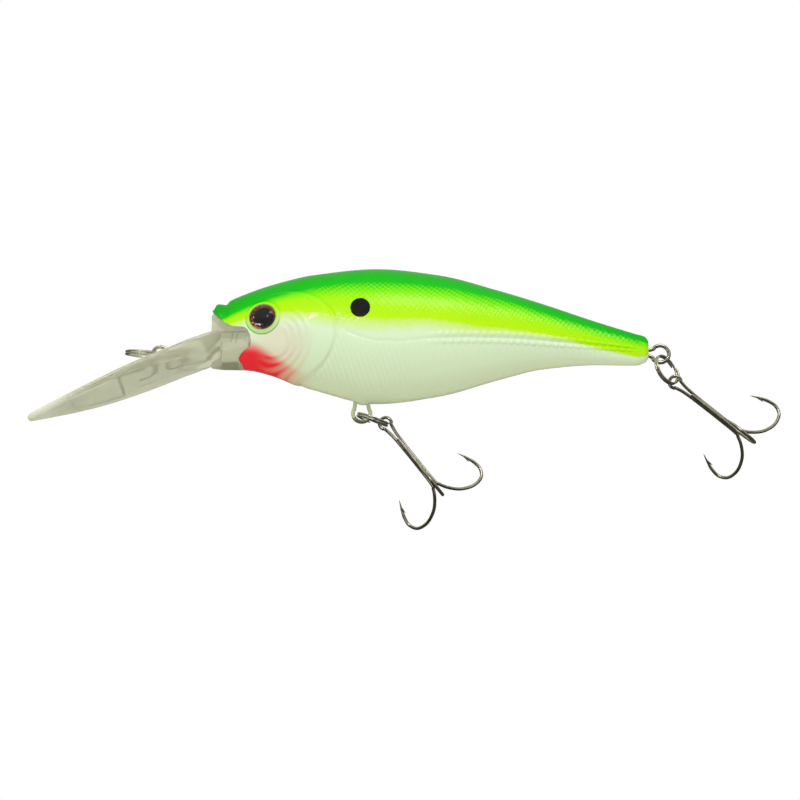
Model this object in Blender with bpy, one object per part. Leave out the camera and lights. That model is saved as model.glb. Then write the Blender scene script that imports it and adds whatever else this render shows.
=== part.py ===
"""Deep-diving crankbait lure: a hollow two-part shad body, a clear diving bill,
three wire eyes, three split rings, two treble hooks, two eyes, a ballast and rattle balls.

Frame: the lure swims upright. +X runs from nose to tail, +Z is up, and the lure's own
left side faces -Y. The origin is the centre of the line tie's loop.
Lengths below are in millimetres, and MM turns them into Blender's metres.
"""

import math

import bmesh
import bpy
from mathutils import Matrix, Vector

MM = 0.001

# ---- Driving dimensions -------------------------------------------------------------
BODY_LENGTH = 70.4
NOSE_X = 8.3
WALL = 1.3
SEAM_GAP = 0.1
FIT_GAP = 0.1

# Stations along the body: share of its length, back height, belly height, half width.
BODY_STATIONS = [
    (0.000, 7.20, -2.35, 1.70),
    (0.022, 8.20, -2.60, 2.50),
    (0.072, 9.82, -2.62, 3.60),
    (0.140, 11.52, -3.50, 4.60),
    (0.230, 13.05, -5.80, 5.55),
    (0.380, 14.08, -8.17, 6.20),
    (0.520, 13.05, -6.95, 5.75),
    (0.660, 10.45, -4.17, 4.35),
    (0.760, 8.25, -2.45, 3.25),
    (0.880, 5.35, -1.80, 2.10),
    (0.970, 3.35, -1.88, 1.45),
    (0.992, 2.90, -1.40, 1.05),
    (1.000, 2.20, -0.70, 0.65),
]
SECTION_FULLNESS = 0.90
HOLLOW_SHARES = (0.06, 0.90)

# Mouth notch in side view: X and Z from the nose's top down to the throat.
MOUTH_OUTLINE = [
    (8.7, 7.6),
    (9.0, 6.4),
    (10.2, 4.8),
    (11.8, 3.3),
    (13.5, 2.7),
    (14.6, 1.5),
    (14.6, 0.5),
    (13.5, -0.4),
    (12.8, -1.5),
    (13.7, -2.8),
    (14.0, -5.0),
    (2.0, -5.0),
    (2.0, 7.6),
]

# Bill: X, height of its upper face, half width, thickness, from inside the mouth to the tip.
BILL_STATIONS = [
    (10.5, 4.00, 2.20, 4.90),
    (7.3, 2.75, 4.60, 4.50),
    (3.0, 0.05, 7.10, 2.50),
    (-1.5, -2.15, 7.75, 1.85),
    (-5.5, -3.95, 7.45, 1.60),
    (-9.5, -5.70, 6.45, 1.42),
    (-13.2, -7.20, 5.00, 1.30),
    (-16.6, -8.50, 3.35, 1.18),
    (-19.2, -9.50, 1.95, 1.08),
    (-20.4, -9.98, 1.25, 1.00),
    (-21.0, -10.25, 0.55, 0.80),
]
TENON = {"x": (12.5, 19.5), "z": (-0.6, 2.2), "half_width": 1.3}
TENON_PIN = {"x": 17.6, "z": 0.8, "r": 0.75, "y": (-3.6, 2.6)}
TENON_COLLAR = {"y": (1.75, 3.6), "wall": 0.7, "bore_end": 2.8}
# The clear front of the head stands clear of the painted halves by this much in X and Z.
HEAD_GAP = (0.15, 0.05)
HEAD_TOP_Z = 6.2

LOOP_WIRE = 0.64
TIE_LOOP_R = 1.20
TIE_LEG_END_X = 9.0
TIE_TOE_X = -3.4
TIE_DROP = 0.05
# Where the loop starts and ends, and its steps, in degrees from +X.
TIE_ARC_DEG = (-42, 223, 24)
TIE_LEG_X = (5.5, 3.0, 1.9)
TIE_HEEL_X = (-1.75, -2.5)
TIE_GROOVE_ROOM = 0.12

# Each hanger: its outer loop's centre and radius, the direction of its legs into the body,
# how far in its inner loop's boss stands, and how far apart the legs are.
BELLY_LOOP = {"at": (32.5, -9.9), "r": 1.40, "lean": 90.0, "boss": 4.8, "legs": 1.9}
TAIL_LOOP = {"at": (80.6, 0.0), "r": 1.42, "lean": 173.0, "boss": 5.2, "legs": 0.74}
HANGER_BOSS_R = 0.85
HANGER_NECK = 0.88
HANGER_SPREAD_DEG = 14.0
HANGER_END_GAP = 0.75

COIL_WIRE = 0.40
COIL_OUTER = 5.4
COIL_PITCH = 0.44
COIL_TURNS = 1.97
# Where the coil's ends lie round the ring, from the point inside the loop it hangs on.
COIL_START_DEG = 90.0

HOOK_WIRE = 0.54
HOOK_EYE_R = 0.98
HOOK_EYE_SPREAD_DEG = 40.0
BRAZE_GAP = 0.04
# One hook of a treble: distance out from the shank's centre line, distance from the eye.
HOOK_CURVE = [
    (0.37, 3.5),
    (0.37, 12.0),
    (0.75, 13.4),
    (1.75, 14.75),
    (3.30, 15.9),
    (5.50, 16.45),
    (7.50, 15.95),
    (8.40, 14.6),
    (8.25, 13.1),
    (7.70, 11.8),
    (6.95, 10.4),
]
HOOK_TIP_SHARE = 0.25
HOOK_TIP_RINGS = 5

# How a split ring and its treble hang at rest. cross: where the ring's wire passes through
# the loop, as distance and direction from the loop's centre. lean: direction of the ring's
# centre. turn: angle between the ring's plane and the lure's centre plane. along: angle
# round the ring from its far end to the treble's eye. slack: the eye's offset from the
# ring's wire, along the shank and across it. shank: the treble's direction in side view.
# swing: how far the treble's shank leans out towards -Y. roll: its turn about the shank.
VIEW_TILT = 15.0
TAIL_RIG = {
    "cross": (0.32, -68.0),
    "lean": -69.2,
    "turn": 49.5,
    "along": 22.0,
    "slack": (-0.03, -0.05),
    "shank": -38.9,
    "swing": 10.4,
    "roll": 0.0,
}
BELLY_RIG = {
    "cross": (0.56, 189.0),
    "lean": -21.5,
    "turn": 80.7,
    "along": 28.0,
    "slack": (-0.26, -0.11),
    "shank": -51.0,
    "swing": 16.3,
    "roll": -0.3,
}
TIE_RIG = {"cross": (0.50, 190.0), "lean": 175.0, "turn": 101.0}

EYE_AT = (16.6, 5.0)
EYE_FACING = (-0.24, -1.0, 0.10)
EYE_R = 2.1
EYE_POCKET_DEPTH = 0.95
EYE_FOIL = 0.25
EYE_DOME_RIM = 0.35
EYE_DOME_RISE = 0.75
EYE_SEAT_GAP = 0.08
FOIL_GAP = 0.05
EYE_PAD = {"in": 2.2, "out": 1.0, "margin": 0.8}

BALLAST = {"x": (22.6, 29.2), "z": -1.7, "r": 1.7}
CRADLE_WALL = 1.0
RATTLES = [("front", 38.5), ("middle", 43.6), ("rear", 48.7)]
RATTLE_Z = -1.2
CELL_END_WALL = 0.8
BALL_R = 1.5
CELL_R = 1.7
CELL_WALL = 0.55
DOWELS = [(21.5, 9.0), (45.0, 9.0), (60.0, 4.6)]
DOWEL_BOSS_R = 1.3
DOWEL_R = 0.6
DOWEL_Y = (-1.0, 1.5)
DOWEL_BORE_END = 1.7
STRUCTURE_INSET = 0.55


# ---- Small geometry helpers ---------------------------------------------------------
def clear_scene():
    for obj in list(bpy.data.objects):
        bpy.data.objects.remove(obj, do_unlink=True)


def material(name, color, roughness, metallic=0.0, alpha=1.0, transmission=0.0):
    made = bpy.data.materials.new(name)
    made.use_nodes = True
    shader = made.node_tree.nodes["Principled BSDF"]
    shader.inputs["Base Color"].default_value = (*color, 1.0)
    shader.inputs["Roughness"].default_value = roughness
    shader.inputs["Metallic"].default_value = metallic
    shader.inputs["Alpha"].default_value = alpha
    shader.inputs["Transmission Weight"].default_value = transmission
    made.diffuse_color = (*color, alpha)
    return made


def object_from(name, bm):
    """A scene object that takes over this bmesh."""
    mesh = bpy.data.meshes.new(name)
    bm.to_mesh(mesh)
    bm.free()
    obj = bpy.data.objects.new(name, mesh)
    bpy.context.scene.collection.objects.link(obj)
    return obj


def metres(bm):
    """The bmesh taken from millimetres to metres, with its faces pointing out."""
    bmesh.ops.scale(bm, vec=(MM, MM, MM), verts=bm.verts)
    bmesh.ops.recalc_face_normals(bm, faces=bm.faces)
    return bm


def finish(obj, paint, smooth_deg=40.0):
    obj.data.materials.clear()
    obj.data.materials.append(paint)
    obj.data.shade_smooth()
    obj.data.set_sharp_from_angle(angle=math.radians(smooth_deg))
    return obj


def combine(target, tool, operation):
    """Boolean of target with tool, applied, and the tool removed."""
    modifier = target.modifiers.new("combine", "BOOLEAN")
    modifier.operation = operation
    modifier.solver = "EXACT"
    modifier.object = tool
    graph = bpy.context.evaluated_depsgraph_get()
    mesh = bpy.data.meshes.new_from_object(target.evaluated_get(graph))
    target.modifiers.clear()
    old = target.data
    target.data = mesh
    bpy.data.meshes.remove(old)
    bpy.data.objects.remove(tool, do_unlink=True)
    return target


def curve_through(points, x):
    """Smooth value at x through (x, value) points, level at a peak and never past one."""
    points = sorted(points)
    x = min(max(x, points[0][0]), points[-1][0])
    rates = [(b[1] - a[1]) / (b[0] - a[0]) for a, b in zip(points, points[1:])]
    slopes = [rates[0]]
    for before, after in zip(rates, rates[1:]):
        level = before * after <= 0
        slopes.append(0.0 if level else 2 * before * after / (before + after))
    slopes.append(rates[-1])
    i = max(k for k in range(len(rates)) if x >= points[k][0])
    (x0, y0), (x1, y1) = points[i], points[i + 1]
    width = x1 - x0
    t = (x - x0) / width
    return (
        y0 * (1 + 2 * t) * (1 - t) ** 2
        + slopes[i] * width * t * (1 - t) ** 2
        + y1 * t * t * (3 - 2 * t)
        + slopes[i + 1] * width * t * t * (t - 1)
    )


def spline(points, steps):
    """Catmull-Rom points through the given Vectors, steps to each span."""
    ends = [2 * points[0] - points[1], *points, 2 * points[-1] - points[-2]]
    out = []
    for i in range(1, len(ends) - 2):
        a, b, c, d = ends[i - 1 : i + 3]
        for k in range(steps):
            t = k / steps
            out.append(
                0.5
                * (
                    2 * b
                    + (c - a) * t
                    + (2 * a - 5 * b + 4 * c - d) * t**2
                    + (3 * b - a - 3 * c + d) * t**3
                )
            )
    return [*out, points[-1].copy()]


def wire(name, path, diameter, paint=None, sides=8, tip_shares=None):
    """A round wire along path with flat or pointed ends, its frame carried without twist."""
    bm = bmesh.new()
    rings = []
    side = None
    for i, point in enumerate(path):
        ahead = path[min(i + 1, len(path) - 1)] - path[max(i - 1, 0)]
        ahead.normalize()
        if side is None:
            side = ahead.orthogonal().normalized()
        side = (side - ahead * side.dot(ahead)).normalized()
        other = ahead.cross(side)
        radius = diameter / 2
        if tip_shares:
            radius *= tip_shares[i]
        ring = []
        for k in range(sides):
            turn = 2 * math.pi * k / sides
            place = point + (side * math.cos(turn) + other * math.sin(turn)) * radius
            ring.append(bm.verts.new(place))
        rings.append(ring)
    for a, b in zip(rings, rings[1:]):
        for k in range(sides):
            bm.faces.new((a[k], a[(k + 1) % sides], b[(k + 1) % sides], b[k]))
    bm.faces.new(rings[0])
    bm.faces.new(rings[-1])
    obj = object_from(name, metres(bm))
    if paint:
        finish(obj, paint)
    return obj


def cylinder(name, start, end, radius, sides=20):
    axis = Vector(end) - Vector(start)
    bm = bmesh.new()
    turn = axis.to_track_quat("Z", "Y").to_matrix().to_4x4()
    place = Matrix.Translation((Vector(start) + Vector(end)) / 2) @ turn
    bmesh.ops.create_cone(
        bm,
        cap_ends=True,
        segments=sides,
        radius1=radius,
        radius2=radius,
        depth=axis.length,
        matrix=place,
    )
    return object_from(name, metres(bm))


def crossbar(name, x, z, low, high, radius, sides=20):
    """A cylinder across the lure, between two values of Y."""
    return cylinder(name, (x, low, z), (x, high, z), radius, sides)


def box(name, low, high):
    bm = bmesh.new()
    size = [b - a for a, b in zip(low, high)]
    middle = [(a + b) / 2 for a, b in zip(low, high)]
    place = Matrix.Translation(middle) @ Matrix.Diagonal((*size, 1.0))
    bmesh.ops.create_cube(bm, size=1.0, matrix=place)
    return object_from(name, metres(bm))


def prism(name, outline, y_low, y_high):
    """An outline in X and Z, extruded across the lure."""
    bm = bmesh.new()
    near = [bm.verts.new((x, y_low, z)) for x, z in outline]
    far = [bm.verts.new((x, y_high, z)) for x, z in outline]
    bm.faces.new(near)
    bm.faces.new(far[::-1])
    count = len(outline)
    for k in range(count):
        after = (k + 1) % count
        bm.faces.new((near[k], near[after], far[after], far[k]))
    return object_from(name, metres(bm))


# ---- Body ---------------------------------------------------------------------------
def body_section(share):
    back = curve_through([(u, top) for u, top, _, _ in BODY_STATIONS], share)
    belly = curve_through([(u, low) for u, _, low, _ in BODY_STATIONS], share)
    half = curve_through([(u, wide) for u, _, _, wide in BODY_STATIONS], share)
    return back, belly, half


def body_loft(name, inset=0.0, first=0.0, last=1.0, steps=30, around=24):
    """The body's closed outer form, or the same form taken in by inset."""
    bm = bmesh.new()
    rings = []
    for i in range(steps + 1):
        ease = 0.5 - 0.5 * math.cos(math.pi * i / steps)
        share = first + (last - first) * (0.35 * i / steps + 0.65 * ease)
        back, belly, half = body_section(share)
        middle = (back + belly) / 2
        tall = (back - belly) / 2 - inset
        wide = half - inset
        ring = []
        for k in range(around):
            turn = 2 * math.pi * k / around
            across = math.sin(turn)
            across = math.copysign(abs(across) ** SECTION_FULLNESS, across)
            spot = (
                NOSE_X + share * BODY_LENGTH,
                wide * across,
                middle - tall * math.cos(turn),
            )
            ring.append(bm.verts.new(spot))
        rings.append(ring)
    for a, b in zip(rings, rings[1:]):
        for k in range(around):
            bm.faces.new((a[k], a[(k + 1) % around], b[(k + 1) % around], b[k]))
    bm.faces.new(rings[0])
    bm.faces.new(rings[-1])
    return object_from(name, metres(bm))


def eye_axis(side):
    """Point on the body's surface under the eye, and the outward direction there."""
    x, z = EYE_AT
    share = (x - NOSE_X) / BODY_LENGTH
    back, belly, half = body_section(share)
    rise = (z - (back + belly) / 2) / ((back - belly) / 2)
    reach = half * (1 - rise * rise) ** (SECTION_FULLNESS / 2)
    facing = Vector(EYE_FACING).normalized()
    spot = Vector((x, -reach, z))
    if side > 0:
        facing.y = -facing.y
        spot.y = -spot.y
    return spot, facing


def loop_direction(hanger):
    lean = math.radians(hanger["lean"])
    return Vector((math.cos(lean), 0, math.sin(lean)))


def hanger_boss(hanger):
    x, z = hanger["at"]
    return Vector((x, 0, z)) + loop_direction(hanger) * hanger["boss"]


def inner_structure():
    """Bosses, cells and ribs across the whole body, to be clipped to its inside."""
    reach = 8.0
    made = body_loft("structure", inset=STRUCTURE_INSET)
    boss = hanger_boss(BELLY_LOOP)
    keep = crossbar("keep", boss.x, boss.z, -reach, reach, HANGER_BOSS_R)
    for x, z in DOWELS:
        combine(keep, crossbar("boss", x, z, -reach, reach, DOWEL_BOSS_R), "UNION")
    for _, x in RATTLES:
        cell = crossbar("cell", x, RATTLE_Z, -reach, reach, CELL_R + CELL_WALL)
        combine(keep, cell, "UNION")
    low, high = BALLAST["x"]
    cradle = cylinder(
        "cradle",
        (low - CRADLE_WALL, 0, BALLAST["z"]),
        (high + CRADLE_WALL, 0, BALLAST["z"]),
        BALLAST["r"] + CRADLE_WALL,
    )
    combine(keep, cradle, "UNION")
    for side in (-1, 1):
        spot, facing = eye_axis(side)
        start, end = spot - facing * EYE_PAD["in"], spot + facing * EYE_PAD["out"]
        combine(keep, cylinder("pad", start, end, EYE_R + EYE_PAD["margin"]), "UNION")
    return combine(made, keep, "INTERSECT")


def body_cutters():
    """Everything taken out of the whole body: mouth, cells, slots and sockets."""
    reach = 20.0
    cutters = [prism("mouth", MOUTH_OUTLINE, -reach, reach)]
    for _, x in RATTLES:
        travel = rattle_reach(x)
        cutters.append(crossbar("bore", x, RATTLE_Z, -travel, travel, CELL_R))
    low, high = BALLAST["x"]
    room = BALLAST["r"] + FIT_GAP
    start = (low - FIT_GAP, 0, BALLAST["z"])
    cutters.append(cylinder("nest", start, (high + FIT_GAP, 0, BALLAST["z"]), room))
    for side in (-1, 1):
        spot, facing = eye_axis(side)
        floor = spot - facing * EYE_POCKET_DEPTH
        cutters.append(cylinder("socket", floor, spot + facing * 2.0, EYE_R + FIT_GAP, 28))
    for hanger in (BELLY_LOOP, TAIL_LOOP):
        cutters.append(hanger_slot(hanger))
    return cutters


def hanger_slot(hanger):
    """The flat pocket in the two halves that holds a hanger's inner loop and its legs."""
    thick = LOOP_WIRE / 2 + FIT_GAP
    centre = hanger_boss(hanger)
    ring_r = hanger["r"] + LOOP_WIRE / 2 + FIT_GAP
    slot = cylinder(
        "slot",
        centre + Vector((0, -thick, 0)),
        centre + Vector((0, thick, 0)),
        ring_r,
    )
    x, z = hanger["at"]
    outer = Vector((x, 0, z)) + loop_direction(hanger) * hanger["r"] * 0.6
    half = (hanger["legs"] + LOOP_WIRE) / 2 + FIT_GAP
    along = loop_direction(hanger)
    across = Vector((-along.z, 0, along.x))
    outline = [
        outer - across * half,
        outer + across * half,
        centre + across * half,
        centre - across * half,
    ]
    legs = prism("legs", [(p.x, p.z) for p in outline], -thick - 0.01, thick + 0.01)
    combine(slot, legs, "UNION")
    post = cylinder(
        "post",
        centre + Vector((0, -thick - 1, 0)),
        centre + Vector((0, thick + 1, 0)),
        HANGER_BOSS_R,
    )
    return combine(slot, post, "DIFFERENCE")


def rattle_reach(x):
    """How far a cell is bored out from the centre plane at this place."""
    share = (x - NOSE_X) / BODY_LENGTH
    back, belly, half = body_section(share)
    rise = (abs(RATTLE_Z - (back + belly) / 2) + CELL_R) / ((back - belly) / 2)
    return half * (1 - rise * rise) ** (SECTION_FULLNESS / 2) - CELL_END_WALL


def body_shells(paint):
    """The two body halves, joined across the centre plane by dowels and the bill's pin."""
    whole = body_loft("whole")
    combine(whole, body_loft("hollow", WALL, *HOLLOW_SHARES), "DIFFERENCE")
    combine(whole, inner_structure(), "UNION")
    for cutter in body_cutters():
        combine(whole, cutter, "DIFFERENCE")
    left = body_half(whole, "body_shell_left", -1)
    right = body_half(whole, "body_shell_right", 1)
    bpy.data.objects.remove(whole, do_unlink=True)
    x, z = TENON_PIN["x"], TENON_PIN["z"]
    radius = TENON_PIN["r"]
    combine(left, crossbar("pin", x, z, *TENON_PIN["y"], radius), "UNION")
    collar = crossbar("collar", x, z, *TENON_COLLAR["y"], radius + TENON_COLLAR["wall"])
    combine(right, collar, "UNION")
    bore = crossbar("bore", x, z, 0.0, TENON_COLLAR["bore_end"], radius + FIT_GAP)
    combine(right, bore, "DIFFERENCE")
    for half in (left, right):
        finish(half, paint, 35.0)


def body_half(whole, name, sign):
    """The half on the side of sign, with its dowels or the sockets that take them."""
    half = whole.copy()
    half.data = whole.data.copy()
    half.name = name
    half.data.name = name
    bpy.context.scene.collection.objects.link(half)
    near, far = sorted((sign * SEAM_GAP / 2, sign * 30.0))
    combine(half, box("side", (-10, near, -30), (120, far, 40)), "INTERSECT")
    for x, z in DOWELS:
        if sign < 0:
            combine(half, crossbar("dowel", x, z, *DOWEL_Y, DOWEL_R), "UNION")
        else:
            socket = crossbar("socket", x, z, DOWEL_Y[0], DOWEL_BORE_END, DOWEL_R + FIT_GAP)
            combine(half, socket, "DIFFERENCE")
    return half


# ---- Bill and line tie --------------------------------------------------------------
def bill_level(x):
    top = curve_through([(a, b) for a, b, _, _ in BILL_STATIONS], x)
    wide = curve_through([(a, b) for a, _, b, _ in BILL_STATIONS], x)
    thick = curve_through([(a, b) for a, _, _, b in BILL_STATIONS], x)
    return top, wide, thick


def bill_blade():
    """The flat tongue, with its edges rounded, as a loft across the lure."""
    bm = bmesh.new()
    rings = []
    steps = 26
    first, last = BILL_STATIONS[0][0], BILL_STATIONS[-1][0]
    for i in range(steps + 1):
        x = first + (last - first) * math.sin(math.pi / 2 * i / steps)
        top, wide, thick = bill_level(x)
        round_off = min(0.3 * thick, 0.5 * wide)
        outline = [
            (-wide, top - thick + round_off),
            (-wide, top - round_off),
            (-wide + round_off, top),
            (wide - round_off, top),
            (wide, top - round_off),
            (wide, top - thick + round_off),
            (wide - round_off, top - thick),
            (-wide + round_off, top - thick),
        ]
        rings.append([bm.verts.new((x, y, z)) for y, z in outline])
    for a, b in zip(rings, rings[1:]):
        for k in range(8):
            bm.faces.new((a[k], a[(k + 1) % 8], b[(k + 1) % 8], b[k]))
    bm.faces.new(rings[0])
    bm.faces.new(rings[-1])
    return object_from("diving_lip", metres(bm))


def tie_path(grow=0.0):
    """Line tie wire: leg inside the bill, up round the loop, down and forward to its toe."""

    def level(x):
        top, _, thick = bill_level(x)
        return Vector((x, 0, top - thick / 2 - TIE_DROP))

    leg = [level(x) for x in (TIE_LEG_END_X + grow, *TIE_LEG_X)]
    loop = []
    for degrees in range(*TIE_ARC_DEG):
        turn = math.radians(degrees)
        loop.append(Vector((TIE_LOOP_R * math.cos(turn), 0, TIE_LOOP_R * math.sin(turn))))
    toe = [level(x) for x in (*TIE_HEEL_X, TIE_TOE_X - grow)]
    return spline([*leg, *loop, *toe], 2)


def diving_lip(paint):
    blade = bill_blade()
    head = body_loft("head")
    outline = [(x - HEAD_GAP[0], z - HEAD_GAP[1]) for x, z in MOUTH_OUTLINE]
    combine(head, prism("block", outline, -20, 20), "INTERSECT")
    combine(head, box("front", (-5, -20, -20), (16, 20, HEAD_TOP_Z)), "INTERSECT")
    combine(blade, head, "UNION")
    low, high = TENON["x"], TENON["z"]
    wide = TENON["half_width"]
    tenon = box("tenon", (low[0], -wide, high[0]), (low[1], wide, high[1]))
    combine(blade, tenon, "UNION")
    x, z = TENON_PIN["x"], TENON_PIN["z"]
    hole = crossbar("hole", x, z, -5, 5, TENON_PIN["r"] + FIT_GAP)
    combine(blade, hole, "DIFFERENCE")
    room = TIE_GROOVE_ROOM
    groove = wire("groove", tie_path(grow=room), LOOP_WIRE + room, sides=10)
    combine(blade, groove, "DIFFERENCE")
    blade.name = "diving_lip"
    return finish(blade, paint, 30.0)


# ---- Wires, rings and hooks ---------------------------------------------------------
def hanger_path(hanger):
    """A looped wire: leg end, outer loop, neck, and the inner loop round its boss."""
    along = loop_direction(hanger)
    across = Vector((-along.z, 0, along.x))
    x, z = hanger["at"]
    outer = Vector((x, 0, z))
    inner = hanger_boss(hanger)
    half = hanger["legs"] / 2
    radius = hanger["r"]
    opening = math.asin(half / radius) + math.radians(HANGER_SPREAD_DEG)
    path = [outer + along * (radius + HANGER_NECK) + across * half]
    count = 18
    for k in range(count + 1):
        turn = opening + (2 * math.pi - 2 * opening) * k / count
        path.append(outer + (along * math.cos(turn) + across * math.sin(turn)) * radius)
    path.append(outer + along * (radius + HANGER_NECK) - across * half)
    count = 14
    for k in range(count + 1):
        turn = opening + (2 * math.pi - 2 * opening - HANGER_END_GAP) * k / count
        path.append(inner - (along * math.cos(turn) + across * math.sin(turn)) * radius)
    return spline(path, 2)


def rig_frame(centre, rig):
    """The split ring's centre, and the in-plane directions along it and across it."""
    lean = math.radians(rig["lean"])
    along = Vector((math.cos(lean), 0, math.sin(lean)))
    level = Vector((-along.z, 0, along.x))
    turn = math.radians(rig["turn"])
    across = level * math.cos(turn) + Vector((0, math.sin(turn), 0))
    distance, heading = rig["cross"]
    heading = math.radians(heading)
    cross = centre + Vector((math.cos(heading), 0, math.sin(heading))) * distance
    return cross + along * coil_radius(), along, across


def coil_radius():
    return (COIL_OUTER - COIL_WIRE) / 2


def split_ring(name, centre, rig, paint):
    middle, along, across = rig_frame(centre, rig)
    normal = across.cross(along)
    path = []
    steps = 44
    for k in range(steps + 1):
        share = k / steps
        turn = 2 * math.pi * COIL_TURNS * share + math.radians(COIL_START_DEG)
        spot = (across * math.sin(turn) - along * math.cos(turn)) * coil_radius()
        path.append(middle + spot + normal * COIL_PITCH * COIL_TURNS * (share - 0.5))
    return wire(name, path, COIL_WIRE, paint, sides=6)


def treble_frame(centre, rig):
    """The hook eye's centre, and the shank, outward and sideways directions of a treble."""
    middle, along, across = rig_frame(centre, rig)
    at = math.radians(rig["along"])
    on_ring = middle + (along * math.cos(at) + across * math.sin(at)) * coil_radius()
    tangent = across * math.cos(at) - along * math.sin(at)
    tilt = math.radians(VIEW_TILT)
    outward = Vector((0, -math.cos(tilt), -math.sin(tilt)))
    upward = Vector((0, -math.sin(tilt), math.cos(tilt)))
    lean, swing = math.radians(rig["shank"]), math.radians(rig["swing"])
    flat = Vector((1, 0, 0)) * math.cos(lean) + upward * math.sin(lean)
    shank = (flat * math.cos(swing) + outward * math.sin(swing)).normalized()
    out = (outward - shank * outward.dot(shank)).normalized()
    out.rotate(Matrix.Rotation(math.radians(rig["roll"]), 3, shank))
    sideways = shank.cross(out)
    eye = on_ring + shank * rig["slack"][0] + sideways * rig["slack"][1]
    return eye, shank, out, sideways, on_ring, tangent


def hook_points(degrees, frame, clearance=0.0):
    """One hook of a treble, from its shank to its point, at this angle about the shank."""
    eye, shank, out, sideways = frame[:4]
    turn = math.radians(degrees)
    away = out * math.cos(turn) + sideways * math.sin(turn)
    return [eye + away * (r + clearance) + shank * s for r, s in HOOK_CURVE]


def tip_shares(count, first, last):
    """Wire thickness along a hook: full, then tapering to its point at each named end."""
    shares = [1.0] * count
    for k in range(HOOK_TIP_RINGS):
        share = HOOK_TIP_SHARE + (1 - HOOK_TIP_SHARE) * k / HOOK_TIP_RINGS
        if first:
            shares[k] = share
        if last:
            shares[-1 - k] = share
    return shares


def treble(prefix, centre, rig, paint):
    """A double hook bent from one wire with the eye, and a single hook brazed to its shank."""
    frame = treble_frame(centre, rig)
    eye, shank, out, sideways = frame[:4]
    bend_a = spline(hook_points(120, frame), 3)
    bend_b = spline(hook_points(-120, frame), 3)
    loop = []
    count = 12
    spread = math.radians(HOOK_EYE_SPREAD_DEG)
    for k in range(count + 1):
        turn = spread + (2 * math.pi - 2 * spread) * k / count
        spot = shank * math.cos(turn) + sideways * math.sin(turn)
        loop.append(eye + spot * HOOK_EYE_R)
    path = bend_a[::-1] + spline(loop, 1) + bend_b
    double = wire(
        f"{prefix}_double_hook",
        path,
        HOOK_WIRE,
        paint,
        sides=6,
        tip_shares=tip_shares(len(path), True, True),
    )
    lone = spline(hook_points(0, frame, BRAZE_GAP), 3)
    single = wire(
        f"{prefix}_single_hook",
        lone,
        HOOK_WIRE,
        paint,
        sides=6,
        tip_shares=tip_shares(len(lone), False, True),
    )
    return double, single


# ---- Eyes, ballast and rattles ------------------------------------------------------
def eye_parts(side, label, foil_paint, dome_paint):
    spot, facing = eye_axis(side)
    floor = spot - facing * (EYE_POCKET_DEPTH - EYE_SEAT_GAP)
    back = floor + facing * EYE_FOIL
    foil = cylinder(f"eye_foil_{label}", floor, back, EYE_R - FOIL_GAP, 28)
    finish(foil, foil_paint)
    base = floor + facing * (EYE_FOIL + EYE_SEAT_GAP)
    profile = [(EYE_R, 0.0), (EYE_R, EYE_DOME_RIM)]
    rounds = 5
    for k in range(1, rounds):
        turn = math.pi / 2 * k / rounds
        profile.append(
            (EYE_R * math.cos(turn), EYE_DOME_RIM + EYE_DOME_RISE * math.sin(turn))
        )
    turned = facing.to_track_quat("Z", "Y").to_matrix()
    bm = bmesh.new()
    rings = []
    around = 28
    for radius, height in profile:
        ring = []
        for k in range(around):
            turn = 2 * math.pi * k / around
            local = Vector((radius * math.cos(turn), radius * math.sin(turn), height))
            ring.append(bm.verts.new(base + turned @ local))
        rings.append(ring)
    for a, b in zip(rings, rings[1:]):
        for k in range(around):
            bm.faces.new((a[k], a[(k + 1) % around], b[(k + 1) % around], b[k]))
    bm.faces.new(rings[0])
    top = bm.verts.new(base + facing * (EYE_DOME_RIM + EYE_DOME_RISE))
    for k in range(around):
        bm.faces.new((rings[-1][k], rings[-1][(k + 1) % around], top))
    finish(object_from(f"eye_dome_{label}", metres(bm)), dome_paint, 60.0)


def ballast(paint):
    low, high = BALLAST["x"]
    start, end = (low, 0, BALLAST["z"]), (high, 0, BALLAST["z"])
    return finish(cylinder("ballast_weight", start, end, BALLAST["r"], 20), paint)


def rattle_balls(paint):
    for label, x in RATTLES:
        bm = bmesh.new()
        place = Matrix.Translation((x, 0, RATTLE_Z))
        bmesh.ops.create_icosphere(bm, subdivisions=2, radius=BALL_R, matrix=place)
        finish(object_from(f"rattle_ball_{label}", metres(bm)), paint, 60.0)


def set_origin(obj, point):
    """Move the object's origin onto a joint without moving its mesh in space."""
    place = Matrix.Translation(point * MM)
    obj.data.transform(place.inverted())
    obj.matrix_world = place


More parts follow.
